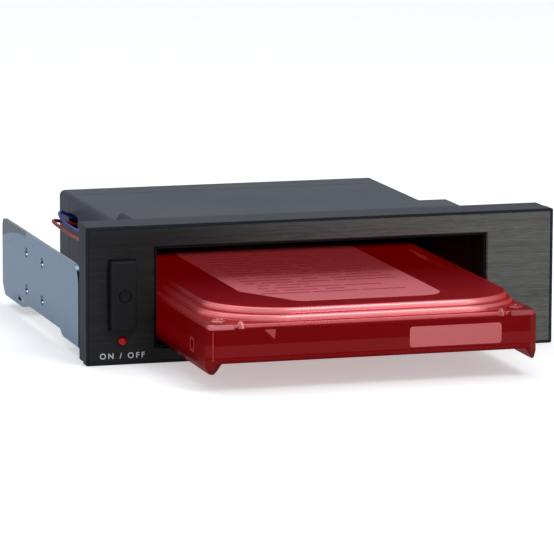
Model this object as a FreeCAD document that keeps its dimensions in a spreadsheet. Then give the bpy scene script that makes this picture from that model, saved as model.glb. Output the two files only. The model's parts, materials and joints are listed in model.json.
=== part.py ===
"""Hot swap drive cage for a half-height 5.25 inch bay, with the 3.5 inch drive that slides into it.

Frame: X to the right, Y back into the bay, Z up, in millimetres. The origin is at the middle of the
bezel's bottom edge, in the plane of its back face, which is the face that stops against the bay.
The drive's own pieces are drawn in the drive's frame (front face at y = 0, underside at z = 0) and
placed as a set.
"""
import FreeCAD, Part
import math
import os
from types import SimpleNamespace

import Sketcher

Vector = FreeCAD.Vector

# ---------------------------------------------------------------------------------------------
# Driving sizes
# ---------------------------------------------------------------------------------------------
SIZES = {
    # bezel
    "bezel_height": 42.0,
    "bezel_depth": 12.6,
    "bezel_wall": 2.0,
    "bezel_front_wall": 2.0,
    "bezel_edge_round": 0.6,
    "bezel_lip": 3.4,
    "bezel_lip_run": 2.6,
    "bezel_taper": 1.1,
    # face plate, let into the front of the bezel
    "plate_thickness": 0.8,
    "plate_rim": 0.8,
    "plate_gap": 0.1,
    "plate_reveal": 0.6,
    "plate_bevel": 0.4,
    # slot for the drive
    "slot_step": 0.1,
    "slot_head_gap": 0.2,
    "slot_sill": 5.3,
    "throat_wall": 1.2,
    # power key
    "key_from_slot": 10.9,
    "key_margin": 7.0,
    "key_sill": 10.6,
    "key_opening_width": 8.4,
    "key_opening_height": 21.4,
    "key_gap": 0.3,
    "key_proud": 3.0,
    "key_travel": 2.8,
    "key_lip": 1.2,
    "key_lip_thickness": 1.2,
    "key_rest_gap": 0.3,
    "key_round": 0.5,
    "key_stem_radius": 1.9,
    "key_stem_length": 0.8,
    # status light
    "light_radius": 1.5,
    "light_height": 7.2,
    "light_proud": 1.3,
    "light_gap": 0.1,
    "light_length": 5.2,
    "light_flange": 0.4,
    "leg_size": 0.5,
    "leg_pitch": 1.27,
    # switch board and switch
    "front_board_thickness": 1.6,
    "front_board_stand": 1.5,
    "front_board_edge": 2.6,
    "front_board_reach": 3.9,
    "front_board_bottom": 4.6,
    "front_board_drop": 8.0,
    "board_post_inset": 4.6,
    "board_post_low": 13.0,
    "board_post_drop": 3.0,
    "board_post_radius": 1.7,
    "switch_size": 6.4,
    "switch_depth": 5.8,
    "plunger_radius": 1.5,
    "plunger_gap": 0.1,
    "plunger_engage": 1.8,
    "plunger_floor": 0.6,
    # cage
    "cage_side_gap": 1.0,
    "cage_wall": 1.6,
    "cage_drop": 6.0,
    "cage_depth": 104.0,
    "cage_round": 1.8,
    "collar_length": 26.4,
    "collar_ramp": 8.0,
    "collar_inset": 0.4,
    "collar_round": 0.8,
    "cap_length": 12.7,
    "cap_wall": 2.0,
    "seam_bevel": 0.35,
    "ear_width": 4.5,
    "ear_height": 7.0,
    "ear_thickness": 2.0,
    "ear_low": 11.0,
    "ear_drop": 6.0,
    "ear_screw_inset": 2.3,
    "ear_post_radius": 1.9,
    "foot_width": 9.6,
    "foot_height": 5.0,
    "foot_front_start": 3.6,
    "foot_front_end": 19.0,
    "foot_rear_length": 12.3,
    "notch_length": 11.3,
    "notch_drop": 3.8,
    "notch_height": 4.8,
    "cap_post_radius": 2.4,
    "cap_post_length": 9.0,
    "cap_post_inset": 2.2,
    # floor
    "floor_top": 5.0,
    "floor_thickness": 1.2,
    "runner_rise": 0.3,
    "runner_inset": 0.2,
    "runner_width": 6.6,
    "vent_length": 14.0,
    "vent_width": 3.0,
    "vent_pitch": 9.0,
    "vent_first": 34.0,
    "vent_row_gap": 8.0,
    "rib_height": 1.4,
    "rib_width": 1.2,
    "rib_place": 30.0,
    # leaf springs and their windows
    "window_start": 22.0,
    "window_end": 66.0,
    "window_low": 10.0,
    "window_high": 19.0,
    "leaf_thickness": 0.3,
    "leaf_height": 7.0,
    "leaf_tail": 4.0,
    "leaf_gap": 0.35,
    # brackets
    "bracket_inset": 1.0,
    "bracket_thickness": 1.0,
    "bracket_top": 28.2,
    "bracket_front": 0.8,
    "bracket_rear_gap": 2.0,
    "bracket_web_bottom": 5.2,
    "bracket_corner_round": 6.0,
    "bracket_small_round": 3.0,
    "bracket_bend_round": 0.4,
    "tab_front_end": 20.0,
    "tab_front_slope": 4.0,
    "tab_overhang": 2.0,
    "tab_rear_slope": 12.0,
    "tab_rear_reach": 6.7,
    "flange_reach": 18.6,
    "bend_slot_ahead": 5.5,
    "bend_slot_length": 8.5,
    "bend_slot_height": 1.4,
    "side_hole_first": 47.4,
    "side_hole_pitch": 21.0,
    "side_hole_low": 10.0,
    "side_hole_rise": 11.84,
    "side_hole_radius": 1.6,
    # backplane board and its connectors
    "backplane_margin": 7.7,
    "backplane_bottom": 6.6,
    "backplane_head_gap": 5.0,
    "backplane_thickness": 1.6,
    "backplane_post": 4.4,
    "backplane_screw_side": 4.0,
    "backplane_screw_edge": 3.4,
    "post_radius": 2.2,
    "socket_offset": 17.0,
    "tongue_height": 5.4,
    "socket_width": 38.6,
    "socket_height": 5.8,
    "socket_depth": 8.0,
    "socket_bore": 6.8,
    "signal_tongue": 10.4,
    "power_tongue": 20.6,
    "tongue_span": 33.4,
    "tongue_thickness": 1.2,
    "tongue_length": 5.6,
    "tongue_gap": 0.5,
    "key_leg": 1.2,
    "contact_pitch": 1.27,
    "contact_width": 0.7,
    "contact_thickness": 0.15,
    "contact_margin": 0.3,
    "contact_length": 4.6,
    "port_wall": 1.0,
    "port_inner_height": 4.6,
    "port_inner_gap": 1.0,
    "port_depth": 8.4,
    "port_floor": 1.6,
    "port_drop": 5.4,
    "data_port_offset": 21.0,
    "power_port_offset": 14.0,
    "port_gap": 0.4,
    "rear_vent_width": 1.8,
    "rear_vent_height": 8.0,
    "rear_vent_pitch": 5.0,
    "rear_vent_low": 8.6,
    # screws
    "screw_radius": 1.25,
    "hole_play": 0.05,
    "hole_relief": 0.4,
    "screw_head_radius": 2.3,
    "screw_head_height": 1.5,
    "screw_grip": 6.0,
    "bracket_screw_radius": 1.5,
    "bracket_screw_head": 2.8,
    "bracket_screw_grip": 4.2,
    "bracket_screw_inset": 5.2,
    # leads
    "lead_radius": 0.55,
    "lead_plug_width": 6.0,
    "lead_plug_height": 5.4,
    "lead_plug_length": 6.4,
    "lead_plug_drop_front": 5.9,
    "lead_plug_drop_rear": 3.0,
    "lead_plug_shift_front": 0.8,
    "lead_plug_shift_rear": 10.5,
    # drive
    "drive_width": 101.6,
    "drive_length": 147.0,
    "drive_height": 17.8,
    "drive_rest_gap": 5.6,
    "drive_floor_gap": 0.3,
    "drive_lip": 3.2,
    "rail_tip": 1.9,
    "rail_root": 4.2,
    "rail_relief": 0.9,
    "drive_corner_bevel": 2.6,
    "drive_side_hole_radius": 1.45,
    "drive_side_hole_height": 6.35,
    "drive_side_hole_rear": 28.5,
    "drive_side_hole_pitch": 101.6,
    "drive_side_hole_depth": 4.0,
    "drive_base_hole_inset": 3.2,
    "drive_base_hole_rear": 41.28,
    "drive_base_hole_pitch": 76.2,
    "drive_base_hole_depth": 4.5,
    "drive_boss_radius": 3.0,
    "cover_flange": 1.2,
    "cover_step": 1.8,
    "cover_rise": 1.8,
    "cover_inset_front": 2.0,
    "cover_inset_side": 0.5,
    "cover_inset_rear": 4.0,
    "step_inset_front": 3.5,
    "step_inset_side": 1.4,
    "step_inset_rear": 7.5,
    "step_front_round": 19.0,
    "step_rear_round": 10.5,
    "plateau_inset_front": 5.8,
    "plateau_inset_side": 5.0,
    "plateau_inset_rear": 10.0,
    "plateau_front_round": 24.0,
    "plateau_rear_round": 9.0,
    "cover_press_round": 1.2,
    "cover_screw_side": 5.0,
    "cover_screw_front": 7.0,
    "cover_screw_rear": 6.0,
    "cover_screw_radius": 1.2,
    "cover_screw_head": 2.4,
    "cover_screw_head_height": 1.0,
    "cover_screw_grip": 4.0,
    "drive_board_length": 66.0,
    "drive_board_rear_gap": 15.0,
    "drive_board_side": 8.3,
    "drive_board_thickness": 1.2,
    "drive_board_cavity": 3.2,
    "drive_board_gap": 0.3,
    "drive_board_screw_inset": 4.5,
    "motor_to_board": 24.0,
    "motor_radius": 14.0,
    "motor_height": 1.8,
    "motor_gap": 0.4,
    "plug_wall": 1.0,
    "plug_clearance": 0.5,
    "plug_floor": 1.4,
    "plug_depth": 7.6,
}


class Dim:
    """A length that carries both its number and the spreadsheet expression it comes from."""

    def __init__(self, value, text):
        self.value = float(value)
        self.text = text

    @staticmethod
    def of(other):
        return other if isinstance(other, Dim) else Dim(other, repr(float(other)))

    def _join(self, other, sign, value):
        return Dim(value, "(" + self.text + " " + sign + " " + other.text + ")")

    def __add__(self, other):
        other = Dim.of(other)
        return self._join(other, "+", self.value + other.value)

    def __radd__(self, other):
        return Dim.of(other) + self

    def __sub__(self, other):
        other = Dim.of(other)
        return self._join(other, "-", self.value - other.value)

    def __rsub__(self, other):
        return Dim.of(other) - self

    def __mul__(self, other):
        other = Dim.of(other)
        return self._join(other, "*", self.value * other.value)

    def __rmul__(self, other):
        return Dim.of(other) * self

    def __truediv__(self, other):
        other = Dim.of(other)
        return self._join(other, "/", self.value / other.value)

    def __neg__(self):
        return Dim(-self.value, "(-" + self.text + ")")


def make_sheet(doc):
    """Puts the driving sizes in a spreadsheet and returns them as named Dims."""
    sheet = doc.addObject("Spreadsheet::Sheet", "Sizes")
    names = {}
    for row, (name, value) in enumerate(SIZES.items(), start=1):
        sheet.set("A%d" % row, name.replace("_", " "))
        sheet.set("B%d" % row, str(value))
        sheet.setAlias("B%d" % row, name)
        names[name] = Dim(value, "Sizes." + name)
    doc.recompute()
    return SimpleNamespace(**names)


# ---------------------------------------------------------------------------------------------
# Modelling helpers
# ---------------------------------------------------------------------------------------------
doc = FreeCAD.newDocument("DriveCage")
s = make_sheet(doc)
parts = []

XY = "XY_Plane"
XZ = "XZ_Plane"
YZ = "YZ_Plane"


def new_body(name):
    """A PartDesign body that becomes one node."""
    body = doc.addObject("PartDesign::Body", name)
    body.Label = name
    parts.append(body)
    return body


def place(body, x=0.0, y=0.0, z=0.0):
    """Ties a body's Placement to the sheet."""
    for axis, value in (("x", x), ("y", y), ("z", z)):
        body.setExpression("Placement.Base." + axis, Dim.of(value).text)


def new_sketch(body, plane, offset=0.0):
    """An empty sketch on one of the body's own origin planes, moved along the plane's normal."""
    sketch = body.newObject("Sketcher::SketchObject", body.Label + "_sketch")
    support = next(f for f in body.Origin.OriginFeatures if f.Role == plane)
    sketch.AttachmentSupport = [(support, "")]
    sketch.MapMode = "FlatFace"
    sketch.setExpression("AttachmentOffset.Base.z", Dim.of(offset).text)
    return sketch


def drive_constraint(sketch, constraint, value):
    """Adds a dimension to a sketch and ties it to the sheet."""
    index = sketch.addConstraint(constraint)
    name = "size_%d" % index
    sketch.renameConstraint(index, name)
    sketch.setExpression("Constraints." + name, value.text)


def add_outline(sketch, points):
    """A closed straight-sided outline whose corners are dimensioned from the sketch origin."""
    points = [(Dim.of(u), Dim.of(v)) for u, v in points]
    first = sketch.GeometryCount
    count = len(points)
    for here, there in zip(points, points[1:] + points[:1]):
        start = Vector(here[0].value, here[1].value, 0)
        end = Vector(there[0].value, there[1].value, 0)
        sketch.addGeometry(Part.LineSegment(start, end))
    for i in range(count):
        follower = first + (i + 1) % count
        sketch.addConstraint(Sketcher.Constraint("Coincident", first + i, 2, follower, 1))
    for i, (u, v) in enumerate(points):
        for kind, value in (("DistanceX", u), ("DistanceY", v)):
            rule = Sketcher.Constraint(kind, -1, 1, first + i, 1, value.value)
            drive_constraint(sketch, rule, value)


def add_rectangle(sketch, left, right, low, high):
    """A rectangle between two pairs of sizes."""
    add_outline(sketch, [(left, low), (right, low), (right, high), (left, high)])


def add_rounded_rectangle(sketch, half, low, high, low_round, high_round):
    """A rectangle centred on the v axis, with one corner radius at each end."""
    half, low, high = Dim.of(half), Dim.of(low), Dim.of(high)
    inner_low = half - low_round
    inner_high = half - high_round
    sides = [
        ((-inner_low, low), (inner_low, low)),
        ((half, low + low_round), (half, high - high_round)),
        ((inner_high, high), (-inner_high, high)),
        ((-half, high - high_round), (-half, low + low_round)),
    ]
    corners = [
        (inner_low, low + low_round, low_round),
        (inner_high, high - high_round, high_round),
        (-inner_high, high - high_round, high_round),
        (-inner_low, low + low_round, low_round),
    ]
    first = sketch.GeometryCount
    for number, (ends, (u, v, radius)) in enumerate(zip(sides, corners)):
        start, end = [Vector(a.value, b.value, 0) for a, b in ends]
        sketch.addGeometry(Part.LineSegment(start, end))
        circle = Part.Circle(Vector(u.value, v.value, 0), Vector(0, 0, 1), radius.value)
        angle = (number - 1) * math.pi / 2
        sketch.addGeometry(Part.ArcOfCircle(circle, angle, angle + math.pi / 2))
    for number, (ends, corner) in enumerate(zip(sides, corners)):
        line = first + 2 * number
        arc = line + 1
        follower = first + (2 * number + 2) % 8
        sketch.addConstraint(Sketcher.Constraint("Coincident", line, 2, arc, 1))
        sketch.addConstraint(Sketcher.Constraint("Coincident", arc, 2, follower, 1))
        for vertex, (u, v) in enumerate(ends, start=1):
            rule = Sketcher.Constraint("DistanceX", -1, 1, line, vertex, u.value)
            drive_constraint(sketch, rule, u)
            rule = Sketcher.Constraint("DistanceY", -1, 1, line, vertex, v.value)
            drive_constraint(sketch, rule, v)
        drive_constraint(sketch, Sketcher.Constraint("Radius", arc, corner[2].value), corner[2])


def add_circle(sketch, u, v, radius):
    """A circle with its centre and radius tied to the sheet."""
    u, v, radius = Dim.of(u), Dim.of(v), Dim.of(radius)
    circle = Part.Circle(Vector(u.value, v.value, 0), Vector(0, 0, 1), radius.value)
    index = sketch.addGeometry(circle)
    drive_constraint(sketch, Sketcher.Constraint("Radius", index, radius.value), radius)
    drive_constraint(sketch, Sketcher.Constraint("DistanceX", -1, 1, index, 3, u.value), u)
    drive_constraint(sketch, Sketcher.Constraint("DistanceY", -1, 1, index, 3, v.value), v)


def pad(body, sketch, length, along_normal=True):
    """Adds material along or against the sketch plane's normal."""
    feature = body.newObject("PartDesign::Pad", body.Label + "_pad")
    feature.Profile = sketch
    feature.setExpression("Length", Dim.of(length).text)
    feature.Reversed = not along_normal
    doc.recompute()
    return feature


def cut(body, sketch, length, along_normal=False):
    """Takes material away along or against the plane's normal, and makes sure that some went."""
    before = body.Shape.Volume
    feature = body.newObject("PartDesign::Pocket", body.Label + "_pocket")
    feature.Profile = sketch
    feature.setExpression("Length", Dim.of(length).text)
    feature.Reversed = along_normal
    doc.recompute()
    if not body.Shape.Volume < before - 1e-6:
        raise RuntimeError("a pocket cuts nothing in " + body.Label)
    return feature


def pad_box(body, plane, offset, length, left, right, low, high, along_normal=True):
    """A rectangular pad in one call."""
    sketch = new_sketch(body, plane, offset)
    add_rectangle(sketch, left, right, low, high)
    return pad(body, sketch, length, along_normal)


def cut_box(body, plane, offset, length, left, right, low, high, along_normal=False):
    """A rectangular pocket in one call."""
    sketch = new_sketch(body, plane, offset)
    add_rectangle(sketch, left, right, low, high)
    return cut(body, sketch, length, along_normal)


def pad_rounds(body, plane, offset, length, centres, radius, along_normal=True):
    """Round posts, all of one radius and length."""
    sketch = new_sketch(body, plane, offset)
    for u, v in centres:
        add_circle(sketch, u, v, radius)
    return pad(body, sketch, length, along_normal)


def cut_rounds(body, plane, offset, length, centres, radius, along_normal=False):
    """Round holes, all of one radius and depth."""
    sketch = new_sketch(body, plane, offset)
    for u, v in centres:
        add_circle(sketch, u, v, radius)
    return cut(body, sketch, length, along_normal)


def pick_edges(shape, test, along=None):
    """Names of the edges whose ends and middle all pass the test, and that run along an axis."""
    names = []
    for number, edge in enumerate(shape.Edges, start=1):
        ends = [vertex.Point for vertex in edge.Vertexes]
        if along and (len(ends) < 2 or abs((ends[1] - ends[0]).normalize().dot(along)) < 0.999):
            continue
        if all(test(point) for point in ends + [middle_of(edge)]):
            names.append("Edge%d" % number)
    return names


def middle_of(edge):
    """The point half way along an edge."""
    first, last = edge.ParameterRange
    return edge.valueAt((first + last) / 2)


def near(value, dim):
    """Whether a coordinate lies on a sized plane."""
    return abs(value - Dim.of(dim).value) < 1e-4


def dress(body, kind, size, test, along=None):
    """A fillet or chamfer on the edges that pass the test."""
    base = body.Tip
    edges = pick_edges(base.Shape, test, along)
    if not edges:
        raise RuntimeError("no edge to dress in " + body.Label)
    feature = body.newObject("PartDesign::" + kind, body.Label + "_" + kind.lower())
    feature.Base = (base, edges)
    feature.setExpression("Radius" if kind == "Fillet" else "Size", Dim.of(size).text)
    doc.recompute()
    if "Invalid" in feature.State or feature.Shape.isNull():
        raise RuntimeError("a %s fails in %s" % (kind.lower(), body.Label))
    return feature


def fillet(body, radius, test, along=None):
    return dress(body, "Fillet", radius, test, along)


def chamfer(body, size, test, along=None):
    return dress(body, "Chamfer", size, test, along)


def new_feature(name, shape):
    """A node whose shape is made straight from the sizes, for forms that no sketch feature suits."""
    feature = doc.addObject("Part::Feature", name)
    feature.Label = name
    feature.Shape = shape
    parts.append(feature)
    return feature


def screw(base, direction, radius, grip, head_radius, head_height):
    """A pan-head screw: base is the middle of the head's seat, direction points down the shank."""
    shank = Part.makeCylinder(radius.value, grip.value, base, direction)
    head = Part.makeCylinder(head_radius.value, head_height.value, base, direction * -1)
    rim = [e for e in head.Edges if e.Closed and middle_of(e).sub(base).dot(direction) < -1e-6]
    head = head.makeChamfer(head_height.value * 0.3, rim)
    return head.fuse(shank)


# Places that several pieces share, from the drive outwards
drive_half = s.drive_width / 2
cage_inner = drive_half + s.cage_side_gap
cage_half = cage_inner + s.cage_wall
slot_half = cage_inner + s.slot_step
key_offset = slot_half + s.key_from_slot
bezel_half = key_offset + s.key_opening_width / 2 + s.key_margin
cage_top = s.bezel_height - s.cage_drop
roof_under = cage_top - s.cage_wall
slot_top = roof_under + s.slot_head_gap
collar_rise = s.cage_drop - s.bezel_wall
floor_under = s.floor_top - s.floor_thickness
shell_length = s.cage_depth - s.cap_length

front_face = s.bezel_depth
front_wall_back = s.bezel_depth - s.plate_thickness - s.bezel_front_wall
key_middle = s.key_sill + s.key_opening_height / 2
screw_hole = s.screw_radius + s.hole_play
cover_hole = s.cover_screw_radius + s.hole_play

ear_high = cage_top - s.ear_drop
ear_screw_x = cage_half + s.ear_screw_inset
ear_places = [(side * ear_screw_x, z) for side in (-1, 1) for z in (s.ear_low, ear_high)]
front_board_top = s.bezel_height - s.front_board_drop
board_post_high = front_board_top - s.board_post_drop
board_posts = [(s.board_post_inset - bezel_half, z) for z in (s.board_post_low, board_post_high)]
cap_posts = [
    (side * (cage_inner - s.cap_post_inset), roof_under - s.cap_post_inset) for side in (-1, 1)
]

foot_rear_start = shell_length - s.foot_rear_length
foot_screw_x = cage_half + s.bracket_screw_inset
foot_screw_y = [(s.foot_front_start + s.foot_front_end) / 2, (foot_rear_start + shell_length) / 2]
bracket_outer = bezel_half - s.bracket_inset
bracket_rear = s.cage_depth - s.bracket_rear_gap
tab_rear_start = foot_rear_start - s.tab_overhang
tab_rear_end = shell_length + s.tab_rear_reach

backplane_back = s.cage_depth - s.cap_wall - s.backplane_post
backplane_front = backplane_back - s.backplane_thickness
backplane_half = s.socket_offset + s.socket_width / 2 + s.backplane_margin
backplane_top = roof_under - s.backplane_head_gap
port_height = backplane_top - s.port_drop
backplane_screws = [
    (side * (backplane_half - s.backplane_screw_side), z)
    for side in (-1, 1)
    for z in (s.backplane_bottom + s.backplane_screw_edge, backplane_top - s.backplane_screw_edge)
]

drive_under = s.floor_top + s.runner_rise + s.drive_floor_gap
tongue_z = drive_under + s.tongue_height
socket_front = backplane_front - s.socket_depth
drive_front = socket_front - s.drive_rest_gap - s.drive_length
casting_top = s.drive_height - s.cover_flange - s.cover_step - s.cover_rise
drive_board_rear = s.drive_length - s.drive_board_rear_gap
drive_board_front = drive_board_rear - s.drive_board_length
drive_board_half = drive_half - s.drive_board_side
motor_place = drive_board_front - s.motor_to_board


# ---------------------------------------------------------------------------------------------
# Bezel, face plate, key and light
# ---------------------------------------------------------------------------------------------
def build_front_bezel():
    body = new_body("front_bezel")
    half = bezel_half
    pad_box(body, XZ, 0, s.bezel_depth, -half, half, 0, s.bezel_height)
    fillet(body, s.bezel_edge_round, lambda p: abs(abs(p.x) - half.value) < 1e-4
           and (near(p.z, 0) or near(p.z, s.bezel_height)))
    recess = half - s.plate_rim
    cut_box(body, XZ, front_face, s.plate_thickness,
            -recess, recess, s.plate_rim, s.bezel_height - s.plate_rim)
    # the hollow back: everything between the outer walls and the throat round the slot
    hollow = new_sketch(body, XZ)
    side = half - s.bezel_wall
    add_rectangle(hollow, -side, side, s.bezel_wall, s.bezel_height - s.bezel_wall)
    throat = slot_half + s.throat_wall
    add_rectangle(hollow, -throat, throat, s.slot_sill - s.throat_wall, slot_top + s.throat_wall)
    cut(body, hollow, front_wall_back, along_normal=True)
    cut_box(body, XZ, 0, s.bezel_depth, -slot_half, slot_half, s.slot_sill, slot_top, True)
    key_half = s.key_opening_width / 2
    cut_box(body, XZ, 0, s.bezel_depth, -key_offset - key_half, -key_offset + key_half,
            s.key_sill, s.key_sill + s.key_opening_height, True)
    cut_rounds(body, XZ, 0, s.bezel_depth, [(-key_offset, s.light_height)],
               s.light_radius + s.light_gap, True)
    pad_rounds(body, XZ, 0, front_wall_back, ear_places, s.ear_post_radius)
    pad_rounds(body, XZ, -s.front_board_stand, front_wall_back + s.front_board_stand,
               board_posts, s.board_post_radius)
    cut_rounds(body, XZ, 0, s.screw_grip - s.ear_thickness + s.hole_relief, ear_places,
               screw_hole, True)
    cut_rounds(body, XZ, -s.front_board_stand, s.screw_grip - s.front_board_thickness + s.hole_relief,
               board_posts, screw_hole, True)
    # the sides lean in behind the front lip
    lip_back = s.bezel_lip - s.bezel_depth
    for side in (-1, 1):
        lean = new_sketch(body, XY)
        add_outline(lean, [(side * half, lip_back), (side * half, 0),
                           (side * (half - s.bezel_taper), 0),
                           (side * (half - s.bezel_taper), lip_back + s.bezel_lip_run)])
        cut(body, lean, s.bezel_height, along_normal=True)


def build_face_plate():
    body = new_body("face_plate")
    sketch = new_sketch(body, XZ, front_face - s.plate_thickness)
    inset = s.plate_rim + s.plate_gap
    half = bezel_half - inset
    add_rectangle(sketch, -half, half, inset, s.bezel_height - inset)
    opening = slot_half + s.plate_reveal
    add_rectangle(sketch, -opening, opening, s.slot_sill - s.plate_reveal, slot_top + s.plate_reveal)
    key_half = s.key_opening_width / 2
    add_rectangle(sketch, -key_offset - key_half, -key_offset + key_half,
                  s.key_sill, s.key_sill + s.key_opening_height)
    add_circle(sketch, -key_offset, s.light_height, s.light_radius + s.light_gap)
    pad(body, sketch, s.plate_thickness)
    chamfer(body, s.plate_bevel, lambda p: near(p.y, -front_face)
            and abs(p.x) < opening.value + 1e-4
            and s.slot_sill.value - s.plate_reveal.value - 1e-4 < p.z
            and p.z < slot_top.value + s.plate_reveal.value + 1e-4)


def build_power_key():
    """The key's front stands proud; a lip above and below keeps it behind the front wall."""
    body = new_body("power_key")
    half = s.key_opening_width / 2 - s.key_gap
    low = s.key_gap
    high = s.key_opening_height - s.key_gap
    lip_front = front_wall_back - s.key_rest_gap
    lip_back = lip_front - s.key_lip_thickness
    pad_box(body, XZ, lip_back, front_face + s.key_proud - lip_back, -half, half, low, high)
    fillet(body, s.key_round, lambda p: near(p.y, -(front_face + s.key_proud)))
    pad_box(body, XZ, lip_back, s.key_lip_thickness, -half, half, -s.key_lip,
            s.key_opening_height + s.key_lip)
    stem_bottom = lip_back - s.key_stem_length
    pad_rounds(body, XZ, stem_bottom, s.key_stem_length, [(0, s.key_opening_height / 2)],
               s.key_stem_radius)
    place(body, -key_offset, 0, s.key_sill)


def build_switch():
    """The push switch behind the key: a square body with a round plunger in its bore."""
    board_front = s.front_board_stand
    switch_front = s.switch_depth - board_front
    half = s.switch_size / 2
    bore_floor = s.plunger_floor - board_front
    body = new_body("power_switch")
    pad_box(body, XZ, -board_front, s.switch_depth, -half, half, -half, half)
    cut_rounds(body, XZ, switch_front, switch_front - bore_floor, [(0, 0)],
               s.plunger_radius + s.plunger_gap)
    place(body, -key_offset, 0, key_middle)
    plunger = new_body("switch_plunger")
    stem_bottom = front_wall_back - s.key_rest_gap - s.key_lip_thickness - s.key_stem_length
    plunger_back = switch_front - s.plunger_engage
    pad_rounds(plunger, XZ, plunger_back, stem_bottom - plunger_back, [(0, 0)], s.plunger_radius)
    place(plunger, -key_offset, 0, key_middle)


def build_switch_board():
    body = new_body("switch_board")
    thick = s.front_board_thickness
    pad_box(body, XZ, -(s.front_board_stand + thick), thick, s.front_board_edge - bezel_half,
            s.front_board_reach - key_offset, s.front_board_bottom, front_board_top)
    cut_rounds(body, XZ, -s.front_board_stand, thick, board_posts, screw_hole)


def build_light():
    """A 3 mm light: a domed lens with a flange, on two legs held in a spacer."""
    dome_front = front_face + s.light_proud
    flange_back = dome_front - s.light_length
    radius = s.light_radius
    lens = new_body("status_light")
    pad_rounds(lens, XZ, flange_back, s.light_length, [(0, 0)], radius)
    fillet(lens, radius * 0.9, lambda p: near(p.y, -dome_front))
    pad_rounds(lens, XZ, flange_back, s.light_flange * 2, [(0, 0)], radius + s.light_flange)
    spacer = new_body("light_spacer")
    spacer_length = flange_back + s.front_board_stand
    pad_rounds(spacer, XZ, -s.front_board_stand, spacer_length, [(0, 0)], radius + s.light_flange)
    half = s.leg_size / 2
    bores = new_sketch(spacer, XZ, flange_back)
    for side in (-1, 1):
        middle = side * s.leg_pitch / 2
        add_rectangle(bores, middle - half, middle + half, -half, half)
    cut(spacer, bores, spacer_length)
    for body in (lens, spacer):
        place(body, -key_offset, 0, s.light_height)
    size = s.leg_size.value
    length = spacer_length.value
    legs = []
    for side in (-1, 1):
        corner = Vector(side * s.leg_pitch.value / 2 - size / 2, -flange_back.value, -size / 2)
        legs.append(Part.makeBox(size, length, size, corner))
    feature = new_feature("light_legs", Part.makeCompound(legs))
    place(feature, -key_offset, 0, s.light_height)


# ---------------------------------------------------------------------------------------------
# Cage: shell, floor, rear cover, springs and brackets
# ---------------------------------------------------------------------------------------------
def round_roof_corners(body, start, end):
    """Rounds the two long top corners of a cage moulding."""
    fillet(body, s.cage_round, lambda p: abs(abs(p.x) - cage_half.value) < 1e-4
           and near(p.z, cage_top)
           and Dim.of(start).value - 1e-4 < p.y < Dim.of(end).value + 1e-4)


def build_cage_shell():
    body = new_body("cage_shell")
    pad_box(body, XZ, 0, shell_length, -cage_half, cage_half, floor_under, cage_top, False)
    round_roof_corners(body, 0, shell_length)
    build_collar(body)
    cut_box(body, XZ, 0, shell_length, -cage_inner, cage_inner, 0, roof_under)
    hollow_collar(body)
    # ears that screw to the back of the bezel
    ear_half = s.ear_height / 2
    for side in (-1, 1):
        inner = side * cage_inner
        outer = side * (cage_half + s.ear_width)
        for middle in (s.ear_low, ear_high):
            left, right = (inner, outer) if side > 0 else (outer, inner)
            pad_box(body, XZ, 0, s.ear_thickness, left, right, middle - ear_half,
                    middle + ear_half, False)
    cut_rounds(body, XZ, 0, s.ear_thickness, ear_places, screw_hole)
    # feet that the brackets' flanges screw to
    for side in (-1, 1):
        inner = side * cage_half
        outer = side * (cage_half + s.foot_width)
        left, right = (inner, outer) if side > 0 else (outer, inner)
        for start, end in ((s.foot_front_start, s.foot_front_end), (foot_rear_start, shell_length)):
            pad_box(body, XY, floor_under, s.foot_height, left, right, start, end)
    feet = [(side * foot_screw_x, y) for side in (-1, 1) for y in foot_screw_y]
    cut_rounds(body, XY, floor_under, s.bracket_screw_grip + s.hole_relief, feet,
               s.bracket_screw_radius + s.hole_play, True)
    # windows for the leaf springs, and the notch for the leads
    cut_box(body, YZ, -cage_half, cage_half * 2, s.window_start, s.window_end,
            s.window_low, s.window_high, True)
    cut_box(body, YZ, -cage_half, s.cage_wall, shell_length - s.notch_length, shell_length,
            roof_under - s.notch_drop - s.notch_height, roof_under - s.notch_drop, True)
    # posts inside the top corners take the rear cover's screws
    pad_rounds(body, XZ, -shell_length, s.cap_post_length, cap_posts, s.cap_post_radius)
    cut_rounds(body, XZ, -shell_length, s.screw_grip + s.hole_relief, cap_posts, screw_hole, True)


def collar_outline(sketch, rise, length, ramp, base):
    """Side view of the collar: level, then a ramp down to the roof."""
    add_outline(sketch, [
        (0, base),
        (0, cage_top + rise),
        (length, cage_top + rise),
        (length + ramp, cage_top + rise - collar_rise),
        (length + ramp, base),
    ])


def build_collar(body):
    half = cage_half - s.collar_inset
    sketch = new_sketch(body, YZ, -half)
    collar_outline(sketch, collar_rise, s.collar_length, s.collar_ramp, roof_under)
    pad(body, sketch, half * 2)
    top = cage_top + collar_rise
    fillet(body, s.collar_round, lambda p: abs(abs(p.x) - half.value) < 1e-4
           and near(p.z, top) and p.y < s.collar_length.value + 1e-4)


def hollow_collar(body):
    """The collar is one wall thick, like the roof."""
    half = cage_half - s.collar_inset - s.cage_wall
    sketch = new_sketch(body, YZ, -half)
    drop = s.cage_wall
    add_outline(sketch, [
        (0, roof_under - drop),
        (0, cage_top + collar_rise - drop),
        (s.collar_length - drop / 2, cage_top + collar_rise - drop),
        (s.collar_length + s.collar_ramp - drop / 2, cage_top - drop),
        (s.collar_length + s.collar_ramp - drop / 2, roof_under - drop),
    ])
    cut(body, sketch, half * 2, along_normal=True)


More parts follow.
